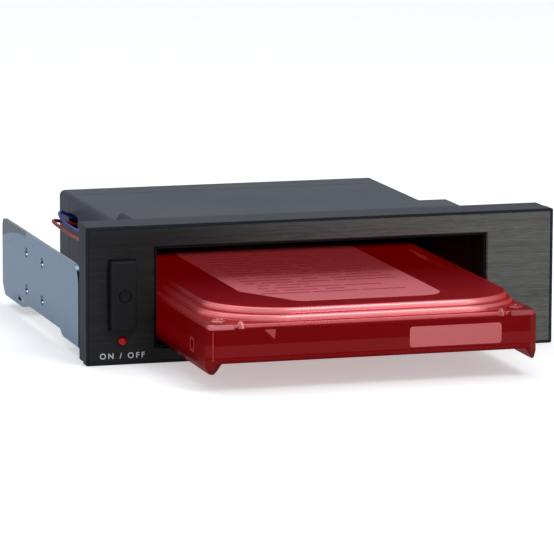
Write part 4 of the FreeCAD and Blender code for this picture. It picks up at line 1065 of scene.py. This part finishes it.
@dataclass
class Fasteners:
    """Every screw of the cage and the drive, one kind at a time."""

    frame: Frame
    steel: Material
    red: Material
    bright: Material
    scatter: Scatter = field(default_factory=lambda: Scatter("repeat_at_points"))

    def _kind(self, node: str, screw: CrossScrew, points: Sequence[Point], axis: Vector,
              body: Body, slot: str, material: Material, seed: int) -> None:
        """Replaces one node of screws by detailed ones.

        Args:
            node: The solids that they replace.
            screw: One of them.
            points: Where each seat is.
            axis: Where the heads point.
            body: What they move with.
            slot: The record's finish for them.
            material: Their finish.
            seed: Fixes how far each is turned.
        """
        copy = screw.make(material)
        made = self.scatter.piece(node + "_detailed", copy, points, axis, material, seed=seed)
        bpy.data.objects.remove(copy)
        seat(made, body, slot, node)

    def build(self) -> None:
        """Builds all the screws at the solids' own seats.

        The sizes are in millimetres: radius, head radius, head height and grip.
        """
        down, back, front, up = (Vector(v) for v in ((0, 0, -1), (0, 1, 0), (0, -1, 0), (0, 0, 1)))
        cage = (Body.CAGE, "steel_bright", self.steel)
        # The cover screws take the painted highlight red.
        cover = (Body.DRIVE, "drive_red", self.bright)
        under = (Body.DRIVE, "drive_red", self.red)
        for node, sizes, axis, (body, slot, material), seed in (
            ("bezel_screws", (1.25, 1.9, 1.5, 6.0), back, cage, 3),
            ("switch_board_screws", (1.25, 1.7, 1.5, 6.0), back, cage, 5),
            ("rear_cover_screws", (1.25, 2.3, 1.5, 18.7), back, cage, 7),
            ("backplane_screws", (1.25, 2.3, 1.5, 6.0), front, cage, 9),
            ("bracket_screws", (1.5, 2.8, 1.5, 5.2), down, cage, 11),
            ("cover_screws", (1.2, 2.4, 1.0, 4.0), up, cover, 13),
            ("drive_board_screws", (1.2, 2.4, 1.0, 4.0), down, under, 15),
        ):
            screw = CrossScrew(*(size * MM for size in sizes))
            points = self._seats(node, screw, axis)
            self._kind(node, screw, points, axis, body, slot, material, seed)

    def _seats(self, node: str, screw: CrossScrew, axis: Vector) -> list[Point]:
        """Reads the heads' seats from a node, one for each separate solid in it.

        Args:
            node: The node's name.
            screw: The screw that goes there.
            axis: Where the heads point.

        Returns:
            The seats in a fixed order.
        """
        mesh = bmesh.new()
        mesh.from_mesh(self.frame["nodes"][node].data)
        bmesh.ops.remove_doubles(mesh, verts=mesh.verts, dist=LEAST)
        seats = []
        left = set(mesh.verts)
        while left:
            stack = [left.pop()]
            group = []
            while stack:
                vert = stack.pop()
                group.append(vert)
                for edge in vert.link_edges:
                    other = edge.other_vert(vert)
                    if other in left:
                        left.remove(other)
                        stack.append(other)
            low = Vector([min(v.co[i] for v in group) for i in range(3)])
            high = Vector([max(v.co[i] for v in group) for i in range(3)])
            middle = (low + high) / 2
            top = max(v.co.dot(axis) for v in group)
            middle += axis * (top - screw.head_height - middle.dot(axis))
            seats.append(tuple(middle))
        mesh.free()
        return sorted(seats)


# ----------------------------------------------------------------------------------- front panel
@dataclass
class FrontPanel:
    """Bezel, brushed face plate, power key, status light and the legend under it."""

    frame: Frame
    bezel: Material
    plate: Material
    key: Material
    sign: Material
    paint: Material
    lens: Material
    key_x: float = -62.8 * MM
    key_z: float = 21.3 * MM
    key_half_width: float = 3.9 * MM
    key_half_height: float = 10.4 * MM
    key_front: float = -15.6 * MM
    key_back: float = -8.3 * MM
    light_z: float = 7.2 * MM
    light_back: float = -8.7 * MM
    light_radius: float = 1.5 * MM
    light_height: float = 5.2 * MM
    plate_front: float = -12.6 * MM
    legend_z: float = 1.95 * MM
    legend_size: float = 2.415 * MM

    def build(self) -> None:
        """Builds and dresses the panel."""
        dress(self.frame, self.bezel, "front_bezel")
        dress(self.frame, self.plate, "face_plate")
        dress(self.frame, self.key, "power_key")
        self._key_cap()
        self._key_sign()
        self._lens()
        self._legend()

    def _key_ring(self, inset: float, y: float, corner: float, lip: float = 0.0) -> list[Point]:
        """Draws one outline of the key.

        Args:
            inset: How far inside the key's edge.
            y: Its depth.
            corner: Its corners' radius.
            lip: How much taller it is at each end.

        Returns:
            The outline's points.
        """
        wide = self.key_half_width - inset
        high = self.key_half_height + lip - inset
        flat = filleted([(x * wide, z * high, corner)
                         for x, z in ((1, -1), (1, 1), (-1, 1), (-1, -1))], 6)
        return [(self.key_x + x, y, self.key_z + z) for x, z in flat]

    def _key_cap(self) -> None:
        """A cap with soft front edges and a shallow dish, and the lips that hold it."""
        soft = 0.55 * MM
        corner = 0.3 * MM
        lip, lip_corner, lip_front = 1.5 * MM, 0.15 * MM, -9.5 * MM
        dish, dish_inset = 0.04 * MM, 1.1 * MM
        steps = 6
        rings = [self._key_ring(0, self.key_back, lip_corner, lip),
                 self._key_ring(0, lip_front, lip_corner, lip),
                 self._key_ring(0, lip_front, corner)]
        for step in range(steps + 1):
            angle = math.pi / 2 * step / steps
            rings.append(self._key_ring(soft * (1 - math.cos(angle)),
                                        self.key_front + soft * (1 - math.sin(angle)),
                                        corner + soft * 0.4))
        rings.append(self._key_ring(dish_inset, self.key_front + dish, corner))
        draft = Draft("key_cap").loft(rings)
        stem = ((0.0, 0.0), (0.0, 1.9 * MM), (0.8 * MM, 1.9 * MM), (0.8 * MM, 0.0))
        draft.turned(stem, (self.key_x, self.key_back, self.key_z), Vector((0, 1, 0)))
        seat(draft.piece(self.key), Body.KEY, "key_black", "power_key")

    def _key_sign(self) -> None:
        """A plain raised ring with a gap and a bar, as switches carry."""
        radius, wire, bar_half = 1.75 * MM, 0.2 * MM, 0.9 * MM
        half_gap = 32
        steps, sides = 40, 10
        back, up = Vector((0, 1, 0)), Vector((0, 0, 1))
        middle = Vector((self.key_x, self.key_front, self.key_z))
        middle += Vector((0.2 * MM, 0.05 * MM, -0.1 * MM))
        rings = []
        for step in range(steps + 1):
            angle = math.radians(90 + half_gap + (360 - 2 * half_gap) * step / steps)
            out = Vector((math.cos(angle), 0, math.sin(angle)))
            rings.append([tuple(middle + out * radius + (out * cosine + back * sine) * wire)
                          for cosine, sine in circle(sides)])
        draft = Draft("key_sign").loft(rings)
        bar = ((-bar_half, 0.0), (-bar_half, wire), (bar_half, wire), (bar_half, 0.0))
        draft.turned(bar, tuple(middle + up * (radius * 0.85)), up, sides)
        seat(draft.piece(self.sign), Body.KEY, "key_black")

    def _lens(self) -> None:
        """The light's domed lens with its flange."""
        radius, dome = self.light_radius, self.light_radius * 0.9
        flange, thick = 1.9 * MM, 0.8 * MM
        steps = 10
        profile = [(0.0, 0.0), (0.0, flange), (thick, flange), (thick, radius),
                   (self.light_height - dome, radius)]
        for step in range(1, steps + 1):
            angle = math.pi / 2 * step / steps
            profile.append((self.light_height - dome * (1 - math.sin(angle)),
                            radius * math.cos(angle)))
        draft = Draft("status_lens")
        foot = (self.key_x, self.light_back, self.light_z)
        draft.turned(profile, foot, Vector((0, -1, 0)), 48)
        seat(draft.piece(self.lens), Body.CAGE, "light_lens", "status_light")

    def _legend(self) -> None:
        """Painted ON and OFF under the light, a hair thick."""
        thick = 0.02 * MM
        curve = bpy.data.curves.new("legend", "FONT")
        curve.body = "ON / OFF"
        curve.size = self.legend_size
        curve.space_character = 1.45
        curve.align_x = "CENTER"
        curve.extrude = thick
        curve.offset = 0.035 * MM
        made = shown("legend", curve)
        graph = bpy.context.evaluated_depsgraph_get()
        data = bpy.data.meshes.new_from_object(made.evaluated_get(graph))
        bpy.data.objects.remove(made)
        place = Matrix.Translation((self.key_x, self.plate_front - thick, self.legend_z))
        data.transform(place @ Matrix.Rotation(math.radians(90), 4, "X"))
        data.materials.clear()
        data.materials.append(self.paint)
        seat(shown("legend_paint", data), Body.CAGE, "plug_white")


# ------------------------------------------------------------------------------------------ cage
@dataclass
class Cage:
    """Shell, rear cover, floor, side brackets, springs, boards and connectors."""

    frame: Frame
    slate: Material
    black: Material
    sheet: Material
    steel: Material
    board: Material
    gold: Material
    grey: Material
    white: Material

    def build(self) -> None:
        """Dresses the solids."""
        dress(self.frame, self.slate, "cage_shell", "rear_cover")
        dress(self.frame, self.black, "cage_floor", "drive_socket", "data_port", "power_port",
              "light_spacer")
        dress(self.frame, self.sheet, "left_bracket", "right_bracket")
        dress(self.frame, self.steel, "left_leaf_spring", "right_leaf_spring", "light_legs")
        dress(self.frame, self.board, "backplane_board", "switch_board")
        dress(self.frame, self.gold, "socket_contacts", "data_port_contacts",
              "power_port_contacts")
        dress(self.frame, self.grey, "power_switch", "switch_plunger")
        dress(self.frame, self.white, "front_lead_plug", "rear_lead_plug")


@dataclass
class Leads:
    """The two thin leads from the switch board round the side to the backplane.

    Their routes are in millimetres, from the switch board's plug to the backplane's.
    """

    blue: Material
    red: Material
    radius: float = 0.55 * MM
    blue_route: tuple[Point, ...] = (
        (-61.0, 9.8, 29.0), (-60.6, 19.0, 29.3), (-59.2, 31.0, 29.8), (-57.8, 44.0, 29.8),
        (-57.3, 55.0, 29.2), (-57.6, 66.0, 28.8), (-58.2, 74.5, 29.0), (-58.6, 80.8, 30.3),
        (-58.3, 85.0, 31.5), (-56.6, 87.8, 31.4), (-53.9, 89.0, 29.8), (-50.6, 88.0, 28.5),
        (-46.6, 85.2, 27.8), (-41.4, 82.6, 27.4), (-36.6, 81.4, 27.2), (-33.2, 85.0, 27.2),
        (-32.5, 89.3, 27.2),
    )
    red_route: tuple[Point, ...] = (
        (-63.0, 9.8, 27.2), (-62.6, 19.0, 27.2), (-61.2, 31.0, 27.5), (-59.6, 44.0, 27.6),
        (-58.8, 55.0, 27.3), (-58.6, 65.5, 27.0), (-58.9, 75.0, 27.3), (-59.7, 81.6, 28.0),
        (-60.0, 86.6, 28.5), (-58.7, 90.0, 28.4), (-55.6, 91.2, 27.6), (-52.2, 89.6, 26.9),
        (-47.8, 86.8, 26.2), (-42.2, 84.4, 25.8), (-38.2, 83.8, 25.7), (-35.4, 86.0, 25.6),
        (-34.5, 89.3, 25.6),
    )

    def _lead(self, name: str, route: Sequence[Point], material: Material,
              node: str, slot: str) -> None:
        """Builds one lead as a smooth curve.

        Args:
            name: The piece's name.
            route: The points that it is drawn towards.
            material: Its finish.
            node: The solid that it replaces.
            slot: The record's finish for it.
        """
        curve = bpy.data.curves.new(name, "CURVE")
        curve.dimensions = "3D"
        line = curve.splines.new("NURBS")
        line.points.add(len(route) - 1)
        for point, place in zip(line.points, route):
            point.co = (*(value * MM for value in place), 1.0)
        line.order_u = 3
        line.use_endpoint_u = True
        line.resolution_u = 10
        curve.bevel_depth = self.radius
        curve.bevel_resolution = 5
        curve.use_fill_caps = True
        curve.materials.append(material)
        seat(shown(name, curve), Body.CAGE, slot, node)

    def build(self) -> None:
        """Builds both leads."""
        self._lead("blue_lead_smooth", self.blue_route, self.blue, "blue_lead", "lead_blue")
        self._lead("red_lead_smooth", self.red_route, self.red, "red_lead", "lead_red")


# ----------------------------------------------------------------------------------------- drive
@dataclass(frozen=True)
class Pressing:
    """One tier of the pressed cover: its insets from the drive's sides, and its radii.

    The flare is how far the foot of its wall spreads outwards.
    """

    left: float
    right: float
    front: float
    rear: float
    near_left: float
    near_right: float
    far: float
    round: float
    flare: float = 0.0

    def ring(self, half: float, front: float, length: float, cut: float,
             level: float) -> list[Point]:
        """Returns the tier's outline.

        Args:
            half: Half the drive's width.
            front: The drive's front.
            length: The drive's length.
            cut: How far inside the tier's edge.
            level: Height.

        Returns:
            The outline's points.
        """
        near, far = front + self.front + cut, front + length - self.rear - cut
        left, right = self.left - half + cut, half - self.right - cut
        flat = filleted(((right, near, self.near_right - cut), (right, far, self.far - cut),
                         (left, far, self.far - cut), (left, near, self.near_left - cut)), 18)
        return [(x, y, level) for x, y in flat]


@dataclass
class Drive:
    """The drive: casting, pressed cover, labels, painted highlight sheets on its front, lugs, pins,
    painted highlight rims round its side holes and underside.
    """

    frame: Frame
    red: Material
    pressed: Material
    rim: Material
    painted_glint: Material
    deep: Material
    gold: Material
    front: float = -64.6 * MM
    under: float = 5.6 * MM
    half: float = 50.8 * MM
    length: float = 147.0 * MM
    casting: float = 13.0 * MM
    flange_rise: float = 1.2 * MM
    step_rise: float = 1.8 * MM
    raised_rise: float = 1.8 * MM
    lug_height: float = 1.5 * MM
    pin_across: float = 40.0 * MM
    pin_along: float = 2.9 * MM
    hole_from_rear: float = 130.1 * MM
    hole_up: float = 6.35 * MM
    hole_highlight: Pair = (1.75 * MM, 2.3 * MM)
    flange: Pressing = Pressing(0.5 * MM, 0.5 * MM, 2.0 * MM, 4.0 * MM,
                                2.4 * MM, 2.4 * MM, 2.4 * MM, 0.15 * MM)
    step: Pressing = Pressing(3.0 * MM, 1.4 * MM, 4.0 * MM, 7.5 * MM,
                              22.5 * MM, 19.0 * MM, 10.5 * MM, 1.2 * MM, 0.35 * MM)
    raised: Pressing = Pressing(5.0 * MM, 2.8 * MM, 5.8 * MM, 10.0 * MM,
                                24.0 * MM, 18.5 * MM, 9.0 * MM, 1.2 * MM, 0.7 * MM)

    def build(self) -> None:
        """Builds and dresses the drive."""
        dress(self.frame, self.red, "drive_base", "drive_cover", "spindle_motor")
        dress(self.frame, self.deep, "drive_board", "drive_plug")
        dress(self.frame, self.gold, "drive_plug_contacts")
        self._cover()
        self._labels()
        self._lugs()
        self._hole_highlights()

    def _shoulder(self, tier: Pressing, low: float, high: float) -> list[list[Point]]:
        """Returns the rings of one tier's wall, with its rounded shoulder.

        Args:
            tier: The tier's outline and press round.
            low: Height of the wall's foot above the underside.
            high: Height of the tier's top above the underside.

        Returns:
            The rings from the foot, which spreads where the tier flares, to the top.
        """
        marks = [(0.0, low)]
        if tier.flare:
            rise = 0.7
            marks = [(-tier.flare * (1 - part) ** 2, low + tier.flare * rise * part ** 2)
                     for part in (0.0, 0.25, 0.5, 0.75, 1.0)]
        steps = 9
        for step in range(steps + 1):
            angle = math.pi / 2 * step / steps
            marks.append((tier.round * (1 - math.cos(angle)),
                          high - tier.round * (1 - math.sin(angle))))
        return [tier.ring(self.half, self.front, self.length, cut, self.under + level)
                for cut, level in marks]

    def _cover(self) -> None:
        """The pressed cover: flange, step and raised middle joined by smooth press radii."""
        rings = []
        foot = self.casting
        for tier, rise in ((self.flange, self.flange_rise), (self.step, self.step_rise),
                           (self.raised, self.raised_rise)):
            rings += self._shoulder(tier, foot, foot + rise)
            foot += rise
        piece = Draft("pressed_cover").loft(rings).piece(self.pressed, 50.0)
        seat(piece, Body.DRIVE, "drive_red", "drive_cover")

    def _sheet(self, name: str, corners: Sequence[Point], place: Callable[[Point], Point],
               thickness: float, material: Material) -> None:
        """A thin flat piece on one face of the drive.

        Args:
            name: The piece's name.
            corners: Its outline's corners and their radii.
            place: Turns the outline's two values and a thickness into a point of the frame.
            thickness: How far it stands off the face.
            material: Its finish.
        """
        flat = filleted(corners)
        rings = [[place((u, v, level)) for u, v in flat] for level in (0.0, thickness)]
        seat(Draft(name).loft(rings).piece(material, 30.0), Body.DRIVE, "drive_red")

    def _front_sheet(self, name: str, corners: Sequence[Point], thickness: float,
                     material: Material) -> None:
        """A thin flat piece on the drive's front face.

        Args:
            name: The piece's name.
            corners: Its outline's corners and their radii, across and up.
            thickness: How far it stands off the face.
            material: Its finish.
        """
        self._sheet(name, corners, lambda p: (p[0], self.front - p[2], p[1]), thickness, material)

    def _labels(self) -> None:
        """The blank form on top, with one corner cut off, and the thin sheets in front: a plain
        label, and a light triangle and a light strip that are painted highlights.
        """
        top = self.under + self.casting + self.flange_rise + self.step_rise + self.raised_rise
        left, right = -31.0 * MM, 27.0 * MM
        near, far = self.front + 15.2 * MM, self.front + 116.0 * MM
        form = ((left, near + 21.0 * MM, 5.0 * MM), (left + 12.6 * MM, near, 5.0 * MM),
                (right, near, 7.0 * MM), (right, far, 2.0 * MM), (left, far, 2.0 * MM))
        ruled = RuledPaper("label_form", tone(184, 106, 113), tone(132, 48, 58), (left, near, top),
                           (right - left, far - near)).make()
        self._sheet("top_label", form, lambda p: (p[0], p[1], top + p[2]), 0.08 * MM, ruled)
        plain = MouldedPlastic("label_plain", tone(206, 106, 108), 0.4).make()
        small = box(10.7 * MM, 39.1 * MM, 10.9 * MM, 17.0 * MM, 0.9 * MM)
        self._front_sheet("front_label", small, 0.03 * MM, plain)
        # Painted highlights: a light triangle under the cover and a light strip near the front
        # face's left corner.
        painted_glint = ((-33.6 * MM, 18.3 * MM, 0.1 * MM), (-30.6 * MM, 15.4 * MM, 0.1 * MM),
               (-30.2 * MM, 18.3 * MM, 0.1 * MM))
        self._front_sheet("front_web", painted_glint, 0.02 * MM, self.painted_glint)
        edge = box(-49.3 * MM, -49.1 * MM, 9.6 * MM, 18.3 * MM, 0.05 * MM)
        self._front_sheet("front_edge", edge, 0.02 * MM, self.painted_glint)

    def _at_corner(self, point: Point, side: int, back: bool) -> Point:
        """Mirrors a point above the casting's front right corner to one of its four corners."""
        along = self.length - point[1] if back else point[1]
        return side * point[0], self.front + along, self.under + self.casting + point[2]

    def _lugs(self) -> None:
        """Bright corner lugs under the cover's screws, in the painted highlight red, and a locating
        pin beside the front two.
        """
        outer, far, soft = 50.2 * MM, 12.0 * MM, 0.25 * MM
        wide, tight = 2.2 * MM, 0.6 * MM
        pin = tuple((along * MM, radius * MM) for along, radius in (
            (0.0, 0.0), (0.0, 1.5), (0.9, 1.4), (1.7, 1.0), (2.1, 0.4), (2.2, 0.0)))
        draft = Draft("cover_lugs")
        for side, back in product((-1, 1), (False, True)):
            near, tip = (4.2 * MM, 41.5 * MM) if back else (0.7 * MM, 41.6 * MM)
            base, crown = (filleted(((outer - cut, near + cut, wide),
                                     (outer - cut, far - 2 * cut, tight),
                                     (tip + 2 * cut, near + cut, tight)), 6)
                           for cut in (0.0, soft))
            draft.loft([[self._at_corner((u, v, level), side, back) for u, v in flat]
                        for flat, level in ((base, 0.0), (base, self.lug_height - soft),
                                            (crown, self.lug_height))])
            if not back:
                centre = self._at_corner((self.pin_across, self.pin_along, 0.0), side, back)
                draft.turned(pin, centre, Vector((0, 0, 1)), 20)
        seat(draft.piece(self.rim, 35.0), Body.DRIVE, "drive_red")

    def _hole_highlights(self) -> None:
        """A thin light rim round the front side hole of each long side, a painted highlight."""
        light = MouldedPlastic("hole_highlight_red", tone(176, 62, 68), 0.4).make()
        along = self.front + self.length - self.hole_from_rear
        height = self.under + self.hole_up
        inner, outer = self.hole_highlight
        proud = 0.05 * MM
        draft = Draft("side_hole_rims")
        for side in (-1, 1):
            rings = [[(side * (self.half + out), along + radius * cosine, height + radius * sine)
                      for cosine, sine in circle(32)]
                     for out, radius in (
                         (0.0, inner), (proud, inner), (proud, outer), (0.0, outer))]
            draft.loft(rings + rings[:1], capped=False)
        seat(draft.piece(light, 35.0), Body.DRIVE, "drive_red")


# ---------------------------------------------------------------------------------------- studio
@dataclass
class Studio:
    """Pale floor, soft lamps and the camera, whose angles are in degrees."""

    position: Point = (-0.3826, -1.2467, 0.2414)
    yaw: float = 16.61
    pitch: float = 9.56
    roll: float = 0.18
    lens: float = 280.9
    floor_size: float = 6.0
    floor_colour: Colour = (0.88, 0.88, 0.88)
    floor_lift: float = 0.42
    sky: Colour = (0.86, 0.92, 1.0)
    sky_strength: float = 0.38
    aim: Point = (0.0, 0.02, 0.02)

    def build(self) -> None:
        """Builds the whole set."""
        self._world()
        self._floor()
        self._lamps()
        self._camera()
        bpy.context.scene.view_settings.view_transform = "Standard"

    def _seen(self, shader: Shader) -> Signal:
        """Returns 1 for rays that show the background: camera, mirror and clear rays."""
        camera, glossy, clear = shader.rays("Is Camera Ray", "Is Glossy Ray", "Is Transmission Ray")
        return (camera + glossy + clear).limited()

    def _world(self) -> None:
        """Soft light from all round, on a white ground."""
        shader = Surroundings("studio")
        soft = shader.node("ShaderNodeBackground", {}, {0: self.sky, 1: self.sky_strength})
        white = shader.node("ShaderNodeBackground", {}, {0: WHITE, 1: 1.0})
        bpy.context.scene.world = shader.finish(shader.mixed(self._seen(shader), soft, white))

    def _floor(self) -> None:
        """A plain pale floor that keeps the shadow."""
        shader = Shader("floor_white")
        matt = shader.surface({"Base Color": self.floor_colour, "Roughness": 0.9})
        strength = self._seen(shader) * self.floor_lift
        lift = shader.node("ShaderNodeEmission", {}, {0: WHITE, 1: strength})
        both = shader.node("ShaderNodeAddShader", {}, {0: matt, 1: lift})
        size = self.floor_size
        data = bpy.data.meshes.new("floor")
        data.from_pydata([(-size, -size, 0), (size, -size, 0), (size, size, 0), (-size, size, 0)],
                         [], [(0, 1, 2, 3)])
        data.materials.append(shader.finish(both))
        shown("floor", data)

    def _lamp(self, name: str, place: Point, size: float, power: float, colour: Colour) -> None:
        """Adds one soft square lamp that faces the cage.

        Args:
            name: The lamp's name.
            place: Where it hangs.
            size: The length of its side.
            power: In watts.
            colour: Its light's colour.
        """
        lamp = bpy.data.lights.new(name, "AREA")
        lamp.size = size
        lamp.energy = power
        lamp.color = colour
        made = shown(name, lamp)
        made.location = place
        ray = Vector(self.aim) - Vector(place)
        made.rotation_euler = ray.to_track_quat("-Z", "Y").to_euler()

    def _lamps(self) -> None:
        """A broad lamp overhead, one above the front, one on the left and one low on the right."""
        self._lamp("overhead", (-0.2, 0.5, 1.6), 1.4, 7.0, (0.95, 0.98, 1.0))
        self._lamp("front_above", (0.35, -0.75, 1.05), 0.5, 5.0, WHITE)
        self._lamp("left_side", (-1.6, -0.3, 0.7), 1.0, 2.0, (0.9, 0.95, 1.0))
        self._lamp("right_front", (0.75, -1.3, 0.4), 0.55, 2.6, (1.0, 0.99, 0.97))

    def _camera(self) -> None:
        """The camera, set by its direction angles."""
        yaw, pitch, roll = (math.radians(a) for a in (self.yaw, self.pitch, self.roll))
        ahead = Vector((math.sin(yaw) * math.cos(pitch), math.cos(yaw) * math.cos(pitch),
                        -math.sin(pitch)))
        level = Vector((math.cos(yaw), -math.sin(yaw), 0.0))
        up = level.cross(ahead)
        right = level * math.cos(roll) + up * math.sin(roll)
        top = up * math.cos(roll) - level * math.sin(roll)
        data = bpy.data.cameras.new("camera")
        data.sensor_width = 36.0
        data.lens = self.lens
        data.clip_end = 20.0
        camera = shown("camera", data)
        turn = Matrix((right, top, -ahead)).transposed().to_4x4()
        camera.matrix_world = Matrix.Translation(self.position) @ turn
        bpy.context.scene.camera = camera


def main() -> None:
    """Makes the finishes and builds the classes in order."""
    logging.basicConfig(level=logging.INFO, format="%(message)s")
    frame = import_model()
    steel = RolledSteel("screw_steel", (0.6, 0.6, 0.62), 0.28, (500.0, 500.0, 500.0)).make()
    # The left bracket's sheet carries a painted reflection.
    sheet = PaintedReflectionSheet("side_sheet", tone(122, 139, 158), 0.14, edge=(0.55, 0.58, 0.62)).make()
    # The throat inside which the cage and bezel mouldings are darkened as painted shade.
    throat = (52.65 * MM, 4.5 * MM, 35.35 * MM)
    slate = MouldedPlastic("cage_moulding", tone(51, 58, 70), 0.5, painted_shade_hollow=throat).make()
    bezel = MouldedPlastic("bezel_moulding", tone(37, 43, 52), 0.55, painted_shade_hollow=throat).make()
    black = MouldedPlastic("black_moulding", tone(36, 37, 40), 0.45).make()
    grey = MouldedPlastic("switch_moulding", tone(84, 85, 90), 0.45).make()
    white = MouldedPlastic("plug_moulding", tone(222, 220, 212), 0.4).make()
    key = MouldedPlastic("key_moulding", tone(34, 35, 37), 0.42).make()
    sign = MouldedPlastic("sign_moulding", tone(9, 9, 10), 0.3).make()
    paint = MouldedPlastic("legend_white", tone(228, 231, 233), 0.5).make()
    # The plate's dark and light ends are painted shade and painted light.
    plate = BrushedPlate("brushed_plate", tone(22, 23, 25), tone(72, 72, 70)).make()
    board = LacqueredBoard("board_green", tone(26, 84, 50)).make()
    gold = RolledSteel("contact_gold", tone(232, 196, 120), 0.25, (900.0, 900.0, 900.0)).make()
    # The drive's reds carry painted highlights along their rims, painted shade at the foot and a
    # painted glow.
    red = RimmedRed("drive_red", tone(64, 9, 12), bright=(0.2, 0.04, 0.045),
                    painted_rims=((10.5 * MM, 14.1 * MM, 0.2),), foot=(9.0 * MM, 10.6 * MM)).make()
    pressed = RimmedRed("cover_red", tone(138, 46, 56), dull=0.5, painted_rims=(
        (18.7 * MM, 23.32 * MM, 0.4), (20.1 * MM, 21.55 * MM, 0.4),
        (22.0 * MM, 23.32 * MM, 0.44))).make()
    # Light red all over in the painted highlight colour, dimmed towards the right as painted shade.
    rim = RimmedRed("painted_highlight_red", (0.16, 0.03, 0.034), bright=(0.5, 0.16, 0.17), painted_glow=0.06,
                    painted_rims=((0.0, 60.0 * MM, 1.0),), dull=0.7).make()
    # The colour of the painted highlight sheets on the drive's front.
    painted_glint = ClearRed("glint_red", (0.24, 0.06, 0.065)).make()
    # The drive's underside has a faint painted glow.
    deep = ClearRed("drive_board_red", tone(90, 12, 18), solid=0.92, metallic=0.0, painted_glow=0.02).make()
    heart = (FrontPanel.key_x, 0.0, FrontPanel.light_z)
    lens = LensRed("lens_red", tone(168, 8, 22), heart, FrontPanel.light_radius).make()
    FrontPanel(frame, bezel, plate, key, sign, paint, lens).build()
    Cage(frame, slate, black, sheet, steel, board, gold, grey, white).build()
    Leads(WireJacket("jacket_blue", tone(26, 46, 132)).make(),
          WireJacket("jacket_red", tone(150, 24, 36)).make()).build()
    Drive(frame, red, pressed, rim, painted_glint, deep, gold).build()
    Fasteners(frame, steel, red, rim).build()
    Studio().build()


if __name__ == "__main__":
    main()
